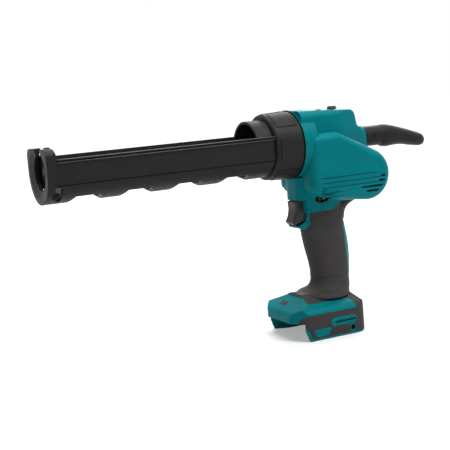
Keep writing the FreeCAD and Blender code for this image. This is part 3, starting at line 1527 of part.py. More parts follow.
def speed_dial():
    """Small knob with a ribbed rim on a stem."""
    radius, height = mm("dial_radius"), mm("dial_height")
    seat = mm("dial_seat") + mm("run_gap") + 0.2
    knob = Part.makeCone(radius, radius - 1.4, height, Vector(mm("dial_x"), 0, seat), Z)
    count = int(mm("dial_ribs"))
    for rib in range(count):
        angle = 2 * math.pi * rib / count
        reach = radius + 0.1
        spot = Vector(mm("dial_x") + reach * math.cos(angle), reach * math.sin(angle), seat + 0.6)
        knob = knob.cut(bar_along(Z, spot, 0.5, height))
    pointer = block_between((mm("dial_x") + 0.8, -0.5, seat + height - 0.6),
                            (mm("dial_x") + radius, 0.5, seat + height + 1))
    stem = bar_along(-Z, Vector(mm("dial_x"), 0, seat + 0.5), mm("dial_stem"), 9)
    return knob.cut(pointer).fuse(stem)


dial = shaped("speed_dial", speed_dial())
dial_board = cut("dial_board",
                 box(("dial_x - 8", "-8", "dial_seat - 8"),
                     ("dial_x + 8", "8", "dial_seat - wall - seat_gap - 0.5")),
                 cylinder("z", ("dial_x", 0, "dial_seat - 9"), "dial_stem + run_gap", "9"))


# Battery terminals, board, lamp and leads

block_core = box(("block_rear", "-block_half_width", "block_low"),
                 ("block_front", "block_half_width", "block_top"))
contact_slots = [box(("block_rear + 4", f"{y} - contact_width / 2", "block_low + 2"),
                     ("block_front", f"{y} + contact_width / 2", "block_low + 2 + contact_height"))
                 for y in ("-contact_spread", "0", "contact_spread")]
terminal_block = cut("terminal_block", block_core, *contact_slots)
contacts = grouped("battery_contacts", *[
    box(("block_rear + 4", f"{y} - contact_width / 2", "block_low + 2"),
        ("block_front + contact_reach", f"{y} + contact_width / 2", "block_low + 2 + contact_height"))
    for y in ("-contact_spread", "0", "contact_spread")])

board_core = box(("block_front - 3", "-20", "block_top + seat_gap"), ("foot_front - 30", "20", "board_top"))
capacitor = cylinder("z", ("block_front + 8", "-10", "board_top - 0.1"), "4", "7")
chip = box(("block_front + 4", "2", "board_top - 0.1"), ("block_front + 10", "11", "board_top + 1.4"))
control_board = fused("control_board", board_core, capacitor, chip)


LED_RISE = 0.3


def led_lens():
    """Clear lamp window on the sloped nose."""
    return lamp_block(0, LED_RISE - mm("led_length"), LED_RISE)


def led_board():
    """Lamp board behind the window."""
    high = LED_RISE - mm("led_length + seat_gap")
    return lamp_block(1.5, high - mm("board_thick"), high)


lens = shaped("led_lens", led_lens())
lamp_board = shaped("led_board", led_board())


def lead(points, radius):
    """Wire along straight runs with rounded turns."""
    edges = []
    start = points[0]
    for before, corner, after in zip(points, points[1:], points[2:]):
        to_before = (before - corner).normalize()
        to_after = (after - corner).normalize()
        reach = 0.4 * min((before - corner).Length, (after - corner).Length)
        half = to_before.getAngle(to_after) / 2
        bend = reach * math.tan(half)
        inward = (to_before + to_after).normalize()
        middle = corner + inward * (bend / math.sin(half) - bend)
        arc_start, arc_end = corner + to_before * reach, corner + to_after * reach
        edges.append(Part.LineSegment(start, arc_start).toShape())
        edges.append(Part.Arc(arc_start, middle, arc_end).toShape())
        start = arc_end
    edges.append(Part.LineSegment(start, points[-1]).toShape())
    path = Part.Wire(edges)
    section = Part.Wire(Part.Circle(points[0], (points[1] - points[0]).normalize(), radius).toShape())
    return path.makePipeShell([section], True, False)


def battery_leads():
    """Two leads up the grip, from the terminal block to the switch."""
    x, spread, radius = mm("lead_x"), mm("lead_spread"), mm("lead_radius")
    low, high = mm("block_top"), mm("switch_low")
    leads = [bar_along(Z, Vector(x, y, low), radius, high - low) for y in (-spread, spread)]
    return Part.makeCompound(leads)


def motor_leads():
    """Two leads from the switch, under the can, up to the motor's end cap."""
    radius = mm("lead_radius")
    top = mm("switch_high")
    low = mm("motor_z - can_radius - seat_gap - 0.5") - radius
    side = mm("can_rear - end_cap_width / 2")
    cap = mm("can_radius") - 1
    leads = []
    for out, y in ((11.6, -8.0), (5.6, -3.0)):
        x = mm("motor_x") + out
        end = mm("motor_z") - math.sqrt(cap ** 2 - (out - radius) ** 2) - 0.4
        first = mm("switch_rear") + 4.5
        points = [Vector(first, y, top), Vector(first, y, low), Vector(x, y, low), Vector(x, side, low),
                  Vector(x, side, end)]
        leads.append(lead(points, radius))
    return Part.makeCompound(leads)


battery_lead_pair = shaped("battery_leads", battery_leads())
motor_lead_pair = shaped("motor_leads", motor_leads())


# Fasteners

def case_screws():
    """Screws that draw the two halves together, heads on the right."""
    screws = []
    for x, z in CASE_SCREWS:
        seat = -mm("case_head_depth") - 6
        shank = bar_along(Y, Vector(x, seat, z), mm("case_screw_radius"), 9 - seat)
        head = bar_along(-Y, Vector(x, seat, z), mm("case_head_radius"), mm("case_head_depth"))
        screws.append(shank.fuse(head))
    return Part.makeCompound(screws)


screws = shaped("housing_screws", case_screws())


def hook_inserts():
    """Threaded bushes for the belt hook's screw, one each side."""
    x, z = mm("hook_x"), mm("hook_z")
    inner, outer = mm("foot_half_width - rail_wall"), mm("foot_half_width - bumper_wall")
    inserts = []
    for side in (-1, 1):
        start = inner if side > 0 else -outer
        bush = bar_along(Y, Vector(x, start, z), mm("insert_radius"), outer - inner)
        inserts.append(bush.cut(bar_along(Y, Vector(x, start, z), mm("hook_radius"), outer - inner)))
    return Part.makeCompound(inserts)


inserts = shaped("hook_inserts", hook_inserts())

doc.recompute()

NODES = [
    holder, ring, nose, front_bush, rear_bush, rod, piston, piston_screw, handle, handle_pin,
    housing_left, housing_right, cover_left, cover_right, bumper_left, bumper_right,
    plate_right, plate_left, bracket, pillars, bolts, rack_pinion, output_gear, pinion_bearings,
    countershaft, drive_pinion, reduction_gear, motor_can, magnets, end_cap, motor_bearings,
    motor_armature, motor_shaft, motor_pinion, cooling_fan, trigger, spring, switch_body,
    lock_button, dial, dial_board, terminal_block, contacts, control_board, lens, lamp_board,
    battery_lead_pair, motor_lead_pair, screws, inserts,
]


def check_document():
    """Stops before writing if anything failed to build."""
    for obj in doc.Objects:
        if "Invalid" in obj.State or "Error" in obj.State:
            raise RuntimeError(f"{obj.Label} did not build: {obj.State}")
    for node in NODES:
        if node.Shape.isNull() or not node.Shape.isValid() or not node.Shape.Solids:
            raise RuntimeError(f"{node.Label} has no valid solid")


check_document()
os.makedirs("parts", exist_ok=True)
for node in NODES:
    node.Shape.exportStep(f"parts/{node.Label}.step")
    print(f"{node.Label}: {len(node.Shape.Solids)} solids, {node.Shape.Volume / 1000:.2f} cm3")
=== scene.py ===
"""Looks of a cordless caulking tool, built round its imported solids.

The part's own frame has +X towards the nozzle, +Y to the tool's left and +Z up. Finishes and the
studio are in metres. Fine pieces are drawn in millimetres and brought to metres when they are done.
"""
from __future__ import annotations

import json
import logging
import math
from dataclasses import dataclass
from enum import Enum

import bmesh
import bpy
from mathutils import Matrix, Vector

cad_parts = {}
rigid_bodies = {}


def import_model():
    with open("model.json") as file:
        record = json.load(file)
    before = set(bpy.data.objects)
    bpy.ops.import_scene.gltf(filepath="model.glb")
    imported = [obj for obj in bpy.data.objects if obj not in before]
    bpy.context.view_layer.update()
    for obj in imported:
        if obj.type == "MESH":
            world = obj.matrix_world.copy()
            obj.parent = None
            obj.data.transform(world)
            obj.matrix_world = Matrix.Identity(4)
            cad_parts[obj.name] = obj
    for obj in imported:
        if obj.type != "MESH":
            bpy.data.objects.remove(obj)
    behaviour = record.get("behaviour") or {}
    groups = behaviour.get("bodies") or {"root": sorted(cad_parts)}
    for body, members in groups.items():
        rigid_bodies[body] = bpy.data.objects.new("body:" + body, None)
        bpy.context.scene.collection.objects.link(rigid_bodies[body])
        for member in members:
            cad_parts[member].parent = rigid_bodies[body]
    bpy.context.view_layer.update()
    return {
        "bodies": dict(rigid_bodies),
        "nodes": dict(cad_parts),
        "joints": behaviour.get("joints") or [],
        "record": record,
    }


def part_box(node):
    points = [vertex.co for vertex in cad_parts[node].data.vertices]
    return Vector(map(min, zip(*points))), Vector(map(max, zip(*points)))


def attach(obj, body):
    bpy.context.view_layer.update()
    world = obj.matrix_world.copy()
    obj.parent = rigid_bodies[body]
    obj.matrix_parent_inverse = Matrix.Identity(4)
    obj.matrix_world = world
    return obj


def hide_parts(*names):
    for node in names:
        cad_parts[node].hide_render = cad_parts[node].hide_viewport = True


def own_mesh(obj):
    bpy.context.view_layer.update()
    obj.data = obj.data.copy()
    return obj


LOG = logging.getLogger("caulking_tool")

Pair = tuple[float, float]
Triple = tuple[float, float, float]
Colour = tuple[float, float, float]

MM = 0.001
FULL_TURN = 2.0 * math.pi
ALONG_X: Triple = (1.0, 0.0, 0.0)
ALONG_Y: Triple = (0.0, 1.0, 0.0)
ALONG_Z: Triple = (0.0, 0.0, 1.0)
WHITE: Colour = (1.0, 1.0, 1.0)

# Height of the push rod's axis over the foot, in millimetres
ROD_AXIS = 200.0

# Values of a noise pattern between which it is spread; few lie outside
PATTERN_MIDDLE: Pair = (0.3, 0.7)
# Share of a parting line's half width that is fully dark
PARTING_CORE = 0.5
# Cosines of the angle between face and eased normal, at a square edge and on a plain face
SEAM_BEND: Pair = (0.78, 0.95)
EDGE_SAMPLES = 6

# Bends of an edge in radians: rounded above the first, shaded smooth below the second
ROUNDED_BEND = 0.6
SMOOTH_BEND = 0.7
ROUND_PROFILE = 0.5
# Millimetres within which two points are one, and within which a point lies on a cut
MERGE_REACH = 1e-4
CUT_REACH = 1e-5


class Body(Enum):
    """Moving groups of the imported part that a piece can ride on."""

    TOOL = "tool"
    HOLDER = "holder"


# Finishes


@dataclass(frozen=True)
class Noise:
    """A noise pattern: features per metre, octaves of finer noise and factors on the axes."""

    scale: float
    detail: float
    stretch: Triple = (1.0, 1.0, 1.0)


@dataclass(frozen=True)
class Relief:
    """Relief made from a pattern: its height in metres and the share of it that shows."""

    depth: float
    strength: float


class NodeSheet:
    """A node tree with short ways to add and join nodes."""

    def __init__(self, tree: bpy.types.NodeTree) -> None:
        """Start with an empty tree.

        Args:
            tree: The tree to fill.
        """
        self.tree = tree
        self.tree.nodes.clear()

    def add(self, kind: str, **values: object) -> bpy.types.Node:
        """Add one node.

        Args:
            kind: Blender's name of the node type.
            **values: Attributes of the node.

        Returns:
            The new node.
        """
        node = self.tree.nodes.new(kind)
        for name, value in values.items():
            setattr(node, name, value)
        return node

    def join(self, source: bpy.types.NodeSocket, target: bpy.types.NodeSocket) -> None:
        """Link an output socket to an input socket."""
        self.tree.links.new(source, target)

    def mapped(self, value: bpy.types.NodeSocket, source: Pair, result: Pair = (0.0, 1.0),
               **values: object) -> bpy.types.NodeSocket:
        """Map one range of a value onto another.

        Args:
            value: The value.
            source: Low and high end of the range it comes from.
            result: Low and high end of the range it goes to.
            **values: Attributes of the node.

        Returns:
            The mapped value, held within the result's range.
        """
        node = self.add("ShaderNodeMapRange", **values)
        names = ("From Min", "From Max", "To Min", "To Max")
        for name, level in zip(names, (*source, *result)):
            node.inputs[name].default_value = level
        self.join(value, node.inputs["Value"])
        return node.outputs["Result"]

    def seen_rays(self) -> bpy.types.NodeSocket:
        """Tell rays that end in the picture from those that only carry soft light.

        Returns:
            1 for rays from the camera, off a glossy face or through a clear one, else 0.
        """
        path = self.add("ShaderNodeLightPath")
        value = path.outputs["Is Camera Ray"]
        for kind in ("Is Glossy Ray", "Is Transmission Ray"):
            larger = self.add("ShaderNodeMath", operation="MAXIMUM")
            self.join(value, larger.inputs[0])
            self.join(path.outputs[kind], larger.inputs[1])
            value = larger.outputs["Value"]
        return value


class FinishSheet(NodeSheet):
    """A material's node tree with the patterns that finishes are made of."""

    def __init__(self, name: str) -> None:
        """Start an empty material.

        Args:
            name: The material's name.
        """
        self.material = bpy.data.materials.new(name)
        self.material.use_nodes = True
        super().__init__(self.material.node_tree)
        self.output = self.add("ShaderNodeOutputMaterial")
        self.coords = self.add("ShaderNodeTexCoord")

    def noise(self, pattern: Noise) -> bpy.types.NodeSocket:
        """Add a noise pattern on object coordinates.

        Args:
            pattern: The pattern's sizes.

        Returns:
            The pattern's value socket.
        """
        mapping = self.add("ShaderNodeMapping")
        mapping.inputs["Scale"].default_value = pattern.stretch
        self.join(self.coords.outputs["Object"], mapping.inputs["Vector"])
        node = self.add("ShaderNodeTexNoise")
        node.inputs["Scale"].default_value = pattern.scale
        node.inputs["Detail"].default_value = pattern.detail
        self.join(mapping.outputs["Vector"], node.inputs["Vector"])
        return node.outputs["Fac"]

    def cells(self, scale: float) -> bpy.types.NodeSocket:
        """Add a cell pattern on object coordinates, as of a spark-eroded mould.

        Args:
            scale: Cells per metre.

        Returns:
            The distance to the nearest cell centre.
        """
        node = self.add("ShaderNodeTexVoronoi")
        node.inputs["Scale"].default_value = scale
        self.join(self.coords.outputs["Object"], node.inputs["Vector"])
        return node.outputs["Distance"]

    def span(self, value: bpy.types.NodeSocket, low: float, high: float) -> bpy.types.NodeSocket:
        """Spread the middle of a noise pattern from a low value to a high one."""
        return self.mapped(value, PATTERN_MIDDLE, (low, high))

    def mottled(self, value: bpy.types.NodeSocket, colour: Colour,
                tones: Pair) -> bpy.types.NodeSocket:
        """Vary a colour by a noise pattern.

        Args:
            value: The pattern.
            colour: The colour.
            tones: Factors on it at the pattern's low and high end.

        Returns:
            The varied colour.
        """
        ramp = self.add("ShaderNodeValToRGB")
        for element, place, tone in zip(ramp.color_ramp.elements, PATTERN_MIDDLE, tones):
            element.position = place
            element.color = (*shade(colour, tone), 1.0)
        self.join(value, ramp.inputs["Fac"])
        return ramp.outputs["Color"]

    def parting_line(self, half_width: float) -> bpy.types.NodeSocket:
        """Find the line on the tool's middle plane, where two halves meet.

        Args:
            half_width: Half the width of the line in metres.

        Returns:
            0 on the line and 1 away from it.
        """
        parts = self.add("ShaderNodeSeparateXYZ")
        self.join(self.coords.outputs["Object"], parts.inputs["Vector"])
        away = self.add("ShaderNodeMath", operation="ABSOLUTE")
        self.join(parts.outputs["Y"], away.inputs[0])
        return self.mapped(away.outputs["Value"], (PARTING_CORE * half_width, half_width))

    def darkened(self, colour: bpy.types.NodeSocket, value: bpy.types.NodeSocket,
                 dark: Colour) -> bpy.types.NodeSocket:
        """Darken a colour where a value is low.

        Args:
            colour: The colour.
            value: 0 where it is dark, 1 where it stays.
            dark: The dark colour.

        Returns:
            The result.
        """
        mix = self.add("ShaderNodeMix", data_type="RGBA")
        mix.inputs["A"].default_value = (*dark, 1.0)
        self.join(value, mix.inputs["Factor"])
        self.join(colour, mix.inputs["B"])
        return mix.outputs["Result"]

    def eased_edges(self, radius: float) -> bpy.types.NodeSocket:
        """Round the normal over sharp edges, as a mould leaves them.

        Args:
            radius: Radius of the rounding in metres.

        Returns:
            The normal.
        """
        node = self.add("ShaderNodeBevel", samples=EDGE_SAMPLES)
        node.inputs["Radius"].default_value = radius
        return node.outputs["Normal"]

    def seam(self, eased: bpy.types.NodeSocket) -> bpy.types.NodeSocket:
        """Find square edges, where one moulding ends against the next.

        Args:
            eased: Normal rounded over the edges.

        Returns:
            0 along the edges and 1 away from them.
        """
        face = self.add("ShaderNodeNewGeometry")
        bend = self.add("ShaderNodeVectorMath", operation="DOT_PRODUCT")
        self.join(eased, bend.inputs[0])
        self.join(face.outputs["Normal"], bend.inputs[1])
        return self.mapped(bend.outputs["Value"], SEAM_BEND)

    def bump(self, height: bpy.types.NodeSocket, relief: Relief,
             under: bpy.types.NodeSocket | None = None) -> bpy.types.NodeSocket:
        """Turn a pattern into relief.

        Args:
            height: The pattern.
            relief: The relief's height and share.
            under: Relief that this one lies on.

        Returns:
            The bent normal.
        """
        node = self.add("ShaderNodeBump")
        node.inputs["Distance"].default_value = relief.depth
        node.inputs["Strength"].default_value = relief.strength
        self.join(height, node.inputs["Height"])
        if under is not None:
            self.join(under, node.inputs["Normal"])
        return node.outputs["Normal"]

    def surface(self, **sockets: object) -> bpy.types.Material:
        """Close the tree with one principled shader.

        Args:
            **sockets: Values or linked sockets, by socket name with underscores for spaces.

        Returns:
            The finished material.
        """
        shader = self.add("ShaderNodeBsdfPrincipled")
        for name, value in sockets.items():
            target = shader.inputs[name.replace("_", " ")]
            if isinstance(value, bpy.types.NodeSocket):
                self.join(value, target)
            else:
                target.default_value = (*value, 1.0) if isinstance(value, tuple) else value
        self.join(shader.outputs["BSDF"], self.output.inputs["Surface"])
        return self.material


def shade(colour: Colour, factor: float) -> Colour:
    """Colour made darker or lighter by a factor."""
    return tuple(min(1.0, part * factor) for part in colour)


@dataclass(frozen=True)
class MouldedPlastic:
    """Injection-moulded plastic with a spark-eroded grain, and a parting line where halves meet."""

    name: str
    colour: Colour
    roughness: float
    swing: Pair = (-0.05, 0.06)
    specular: float = 0.2
    tones: Pair = (0.93, 1.06)
    clouds: Noise = Noise(38.0, 4.0)
    grain: float = 1900.0
    grain_depth: float = 0.06 * MM
    grain_strength: float = 0.12
    flow: Noise = Noise(420.0, 2.0)
    flow_relief: Relief = Relief(0.1 * MM, 0.06)
    easing: float = 0.5 * MM
    parting: float = 0.0
    parting_tone: float = 0.15
    parting_relief: Relief = Relief(0.2 * MM, 0.6)

    def build(self) -> bpy.types.Material:
        """Make the material.

        Returns:
            The new material.
        """
        sheet = FinishSheet(self.name)
        clouds = sheet.noise(self.clouds)
        grain = sheet.cells(self.grain)
        flow = sheet.noise(self.flow)
        relief = sheet.bump(flow, self.flow_relief, sheet.eased_edges(self.easing))
        relief = sheet.bump(grain, Relief(self.grain_depth, self.grain_strength), relief)
        colour = sheet.mottled(clouds, self.colour, self.tones)
        if self.parting > 0.0:
            line = sheet.parting_line(self.parting)
            colour = sheet.darkened(colour, line, shade(self.colour, self.parting_tone))
            relief = sheet.bump(line, self.parting_relief, relief)
        low, high = self.swing
        return sheet.surface(
            Base_Color=colour,
            Roughness=sheet.span(flow, self.roughness + low, self.roughness + high),
            Specular_IOR_Level=self.specular, Normal=relief)


@dataclass(frozen=True)
class SoftGrip:
    """Thermoplastic rubber with a leathery stipple, dark along the seams where it ends."""

    name: str
    colour: Colour
    roughness: float = 0.62
    swing: Pair = (-0.06, 0.08)
    specular: float = 0.18
    tones: Pair = (0.88, 1.12)
    dust: Noise = Noise(55.0, 5.0)
    stipple: float = 1150.0
    stipple_relief: Relief = Relief(0.12 * MM, 0.22)
    fine: Noise = Noise(2600.0, 2.0)
    fine_relief: Relief = Relief(0.05 * MM, 0.15)
    easing: float = 0.9 * MM
    seam_tone: float = 0.12

    def build(self) -> bpy.types.Material:
        """Make the material.

        Returns:
            The new material.
        """
        sheet = FinishSheet(self.name)
        dust = sheet.noise(self.dust)
        stipple = sheet.cells(self.stipple)
        fine = sheet.noise(self.fine)
        edges = sheet.eased_edges(self.easing)
        relief = sheet.bump(fine, self.fine_relief, edges)
        relief = sheet.bump(stipple, self.stipple_relief, relief)
        colour = sheet.mottled(dust, self.colour, self.tones)
        dark = shade(self.colour, self.seam_tone)
        low, high = self.swing
        return sheet.surface(
            Base_Color=sheet.darkened(colour, sheet.seam(edges), dark),
            Roughness=sheet.span(fine, self.roughness + low, self.roughness + high),
            Specular_IOR_Level=self.specular, Normal=relief)


@dataclass(frozen=True)
class GroundMetal:
    """Turned or ground metal with fine tool lines."""

    name: str
    colour: Colour
    roughness: float = 0.32
    swing: Pair = (-0.08, 0.1)
    tones: Pair = (0.9, 1.05)
    stain: Noise = Noise(60.0, 3.0)
    cuts: Noise = Noise(420.0, 4.0, (1.0, 12.0, 12.0))
    cut_relief: Relief = Relief(0.03 * MM, 0.2)

    def build(self) -> bpy.types.Material:
        """Make the material.

        Returns:
            The new material.
        """
        sheet = FinishSheet(self.name)
        stain = sheet.noise(self.stain)
        cuts = sheet.noise(self.cuts)
        low, high = self.swing
        return sheet.surface(
            Base_Color=sheet.mottled(stain, self.colour, self.tones),
            Roughness=sheet.span(cuts, self.roughness + low, self.roughness + high),
            Metallic=1.0, Normal=sheet.bump(cuts, self.cut_relief))


@dataclass(frozen=True)
class CircuitBoard:
    """Green solder mask with faint tracks."""

    name: str
    colour: Colour
    roughness: Pair = (0.3, 0.42)
    tones: Pair = (0.75, 1.25)
    tracks: Noise = Noise(300.0, 1.0, (1.0, 0.15, 1.0))
    track_relief: Relief = Relief(0.05 * MM, 0.3)

    def build(self) -> bpy.types.Material:
        """Make the material.

        Returns:
            The new material.
        """
        sheet = FinishSheet(self.name)
        tracks = sheet.noise(self.tracks)
        return sheet.surface(
            Base_Color=sheet.mottled(tracks, self.colour, self.tones),
            Roughness=sheet.span(tracks, *self.roughness),
            Normal=sheet.bump(tracks, self.track_relief))


@dataclass(frozen=True)
class SmokedWindow:
    """Smoked, half clear window of the lamp."""

    name: str
    colour: Colour
    roughness: Pair = (0.05, 0.12)
    specular: float = 0.15
    clarity: float = 0.15
    refraction: float = 1.49
    tones: Pair = (0.92, 1.0)
    waves: Noise = Noise(500.0, 2.0)
    wave_relief: Relief = Relief(0.03 * MM, 0.1)

    def build(self) -> bpy.types.Material:
        """Make the material.

        Returns:
            The new material.
        """
        sheet = FinishSheet(self.name)
        waves = sheet.noise(self.waves)
        return sheet.surface(
            Base_Color=sheet.mottled(waves, self.colour, self.tones),
            Roughness=sheet.span(waves, *self.roughness),
            Transmission_Weight=self.clarity, IOR=self.refraction,
            Specular_IOR_Level=self.specular, Normal=sheet.bump(waves, self.wave_relief))


@dataclass(frozen=True)
class StudioPaper:
    """Pale floor that fades to white away from the tool and keeps the shadow near it."""

    name: str
    colour: Colour
    glow: Pair
    reach: Pair = (0.25, 1.1)
    roughness: float = 0.85
    tones: Pair = (0.99, 1.0)
    fibre: Noise = Noise(90.0, 3.0)

    def build(self) -> bpy.types.Material:
        """Make the material.

        Returns:
            The new material.
        """
        sheet = FinishSheet(self.name)
        fibre = sheet.noise(self.fibre)
        seen = sheet.seen_rays()
        away = sheet.add("ShaderNodeVectorMath", operation="LENGTH")
        sheet.join(sheet.coords.outputs["Object"], away.inputs[0])
        fade = sheet.mapped(away.outputs["Value"], self.reach, self.glow,
                            interpolation_type="SMOOTHSTEP")
        strength = sheet.add("ShaderNodeMath", operation="MULTIPLY")
        sheet.join(seen, strength.inputs[0])
        sheet.join(fade, strength.inputs[1])
        return sheet.surface(
            Base_Color=sheet.mottled(fibre, self.colour, self.tones), Roughness=self.roughness,
            Emission_Color=WHITE, Emission_Strength=strength.outputs["Value"])


class Finish(Enum):
    """Finishes of the tool, by what they are on."""

    SHELL = MouldedPlastic("teal_shell", (0.0, 0.195, 0.222), 0.40, specular=0.06,
                           parting=0.3 * MM)
    # Dark teal for the strips under the drum ribs: painted groove shade.
    GROOVE_PAINTED_SHADE = MouldedPlastic("painted_groove_shade", (0.0, 0.040, 0.046), 0.5, specular=0.06)
    TROUGH = MouldedPlastic("black_trough", (0.014, 0.014, 0.014), 0.48, specular=0.14,
                            easing=0.8 * MM)
    # The trough's black made smoother and glossier, and lighter in colour: painted highlight of the
    # lit rim edges.
    RIM_WITH_PAINTED_HIGHLIGHT = MouldedPlastic("polished_rim_painted_highlight", (0.030, 0.030, 0.030), 0.32, specular=0.45,
                         grain_strength=0.03)
    COLLAR = MouldedPlastic("black_collar", (0.016, 0.016, 0.015), 0.46, specular=0.12)
    TRIM = MouldedPlastic("charcoal_trim", (0.036, 0.035, 0.034), 0.42)
    # Black of the inner parts; also on strips, sheets, blocks and a ring that stand in for shade:
    # painted shade.
    INNER_BLACK_AND_PAINTED_SHADE = MouldedPlastic("inner_black_and_painted_shade", (0.006, 0.006, 0.006), 0.6, specular=0.06)
    LOCK = MouldedPlastic("brown_lock", (0.045, 0.018, 0.016), 0.42)
    GREY = MouldedPlastic("grey_cap", (0.16, 0.16, 0.165), 0.4)
    RUBBER = SoftGrip("soft_grip", (0.044, 0.041, 0.040))
    STEEL = GroundMetal("ground_steel", (0.56, 0.56, 0.58))
    BLACK_STEEL = GroundMetal("blackened_steel", (0.016, 0.016, 0.018), 0.55)
    BRASS = GroundMetal("bright_brass", (0.72, 0.52, 0.22), 0.28)
    FERRITE = MouldedPlastic("sintered_ferrite", (0.03, 0.03, 0.032), 0.7, grain=900.0,
                             grain_strength=0.4)
    BOARD = CircuitBoard("solder_mask", (0.01, 0.09, 0.035))
    WINDOW = SmokedWindow("smoked_window", (0.035, 0.010, 0.010))
    LEAD = MouldedPlastic("wire_insulation", (0.35, 0.02, 0.015), 0.45, grain=3000.0,
                          grain_strength=0.05)
    FLOOR = StudioPaper("studio_paper", (0.70, 0.70, 0.70), (0.34, 0.92))


class FinishRack:
    """Makes each finish's material once and hands it out."""

    def __init__(self) -> None:
        """Start with no materials made."""
        self.made: dict[Finish, bpy.types.Material] = {}

    def get(self, finish: Finish) -> bpy.types.Material:
        """Hand out the material of a finish, made on first use.

        Args:
            finish: The finish.

        Returns:
            Its material.
        """
        if finish not in self.made:
            self.made[finish] = finish.value.build()
        return self.made[finish]

    def dress(self, thing: bpy.types.Object, finish: Finish) -> None:
        """Put one finish on an object."""
        thing.data.materials.clear()
        thing.data.materials.append(self.get(finish))


NODE_FINISH: dict[Finish, tuple[str, ...]] = {
    Finish.SHELL: ("housing_left", "housing_right"),
    Finish.TROUGH: ("cartridge_holder",),
    Finish.COLLAR: ("holder_ring", "rod_handle"),
    Finish.TRIM: ("trigger", "speed_dial"),
    Finish.LOCK: ("lock_off_button",),
    Finish.RUBBER: ("grip_cover_left", "grip_cover_right", "foot_bumper_left",
                    "foot_bumper_right"),
    Finish.INNER_BLACK_AND_PAINTED_SHADE: ("nose_sleeve", "front_bush", "rear_bush", "switch_body", "terminal_block",
                   "motor_end_cap", "cooling_fan"),
    Finish.BLACK_STEEL: ("piston", "piston_screw", "housing_screws", "hook_inserts",
                         "handle_pin"),
    Finish.STEEL: ("push_rod", "gear_plate_right", "gear_plate_left", "motor_bracket",
                   "gear_pillars", "pillar_bolts", "rack_pinion", "output_gear",
                   "pinion_bearings", "countershaft", "drive_pinion", "reduction_gear",
                   "motor_can", "motor_bearings", "motor_armature", "motor_shaft",
                   "trigger_spring"),
    Finish.BRASS: ("motor_pinion", "battery_contacts"),
    Finish.FERRITE: ("motor_magnets",),
    Finish.BOARD: ("dial_board", "control_board", "led_board"),
    Finish.WINDOW: ("led_lens",),
    Finish.LEAD: ("battery_leads", "motor_leads"),
}


def dress_solids(nodes: dict[str, bpy.types.Object], rack: FinishRack) -> None:
    """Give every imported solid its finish.

    Args:
        nodes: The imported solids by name.
        rack: Where the materials come from.
    """
    for finish, names in NODE_FINISH.items():
        for name in names:
            rack.dress(nodes[name], finish)
            LOG.info("%s: %s", name, finish.name.lower())


# Studio


@dataclass(frozen=True)
class SoftLamp:
    """A square lamp: where it hangs, the length of its sides in metres and its watts."""

    name: str
    place: Triple
    size: float
    power: float


@dataclass
class Studio:
    """Camera at the photograph's viewpoint, soft lamps and a pale floor."""

    eye: Triple = (0.544271, 0.904621, 0.271172)
    right: Triple = (-0.89006, 0.44936, -0.07657)
    down: Triple = (0.13174, 0.09278, -0.98693)
    lens: float = 80.777
    sensor: float = 36.0
    clip: Pair = (0.01, 50.0)
    world_glow: Pair = (0.12, 1.0)
    aim: Triple = (0.07, 0.0, 0.14)
    lamps: tuple[SoftLamp, ...] = (
        SoftLamp("key", (-0.35, 0.75, 1.45), 0.7, 17.0),
        SoftLamp("top", (0.25, -0.25, 1.6), 0.9, 23.0),
        SoftLamp("back", (-0.9, -0.9, 0.9), 0.8, 8.0))
    floor_half: float = 6.0
    floor_drop: float = 0.2 * MM

    def build(self, rack: FinishRack) -> None:
        """Place the camera, the lamps and the floor.

        Args:
            rack: Where the floor's material comes from.
        """
        self.place_camera()
        self.light_world()
        for lamp in self.lamps:
            self.hang(lamp)
        self.lay_floor(rack)

    def place_camera(self) -> None:
        """Make the camera from its place and axes."""
        camera = bpy.data.objects.new("camera", bpy.data.cameras.new("camera"))
        camera.data.lens = self.lens
        camera.data.sensor_width = self.sensor
        camera.data.clip_start, camera.data.clip_end = self.clip
        right, up = Vector(self.right), -Vector(self.down)
        turn = Matrix((right, up, right.cross(up))).transposed()
        camera.matrix_world = Matrix.Translation(Vector(self.eye)) @ turn.to_4x4()
        bpy.context.scene.collection.objects.link(camera)
        bpy.context.scene.camera = camera

    def light_world(self) -> None:
        """Make the surroundings: white where they are seen, faint as soft light from all round."""
        world = bpy.data.worlds.new("studio")
        bpy.context.scene.world = world
        world.use_nodes = True
        sheet = NodeSheet(world.node_tree)
        output = sheet.add("ShaderNodeOutputWorld")
        background = sheet.add("ShaderNodeBackground")
        background.inputs["Color"].default_value = (*WHITE, 1.0)
        strength = sheet.mapped(sheet.seen_rays(), (0.0, 1.0), self.world_glow)
        sheet.join(strength, background.inputs["Strength"])
        sheet.join(background.outputs["Background"], output.inputs["Surface"])

    def hang(self, lamp: SoftLamp) -> None:
        """Add one lamp, pointed at the middle of the tool.

        Args:
            lamp: Its place, size and power.
        """
        light = bpy.data.lights.new(lamp.name, "AREA")
        light.shape = "SQUARE"
        light.size = lamp.size
        light.energy = lamp.power
        thing = bpy.data.objects.new(lamp.name, light)
        place = Vector(lamp.place)
        turn = (Vector(self.aim) - place).to_track_quat("-Z", "Y").to_matrix()
        thing.matrix_world = Matrix.Translation(place) @ turn.to_4x4()
        bpy.context.scene.collection.objects.link(thing)

    def lay_floor(self, rack: FinishRack) -> None:
        """Put a wide pale sheet under the foot.

        Args:
            rack: Where its material comes from.
        """
        shape = bmesh.new()
        bmesh.ops.create_grid(shape, x_segments=1, y_segments=1, size=self.floor_half)
        floor = new_piece("floor", shape, rack, Finish.FLOOR)
        floor.data.transform(Matrix.Translation((0.0, 0.0, -self.floor_drop)))


# Ways of making a piece


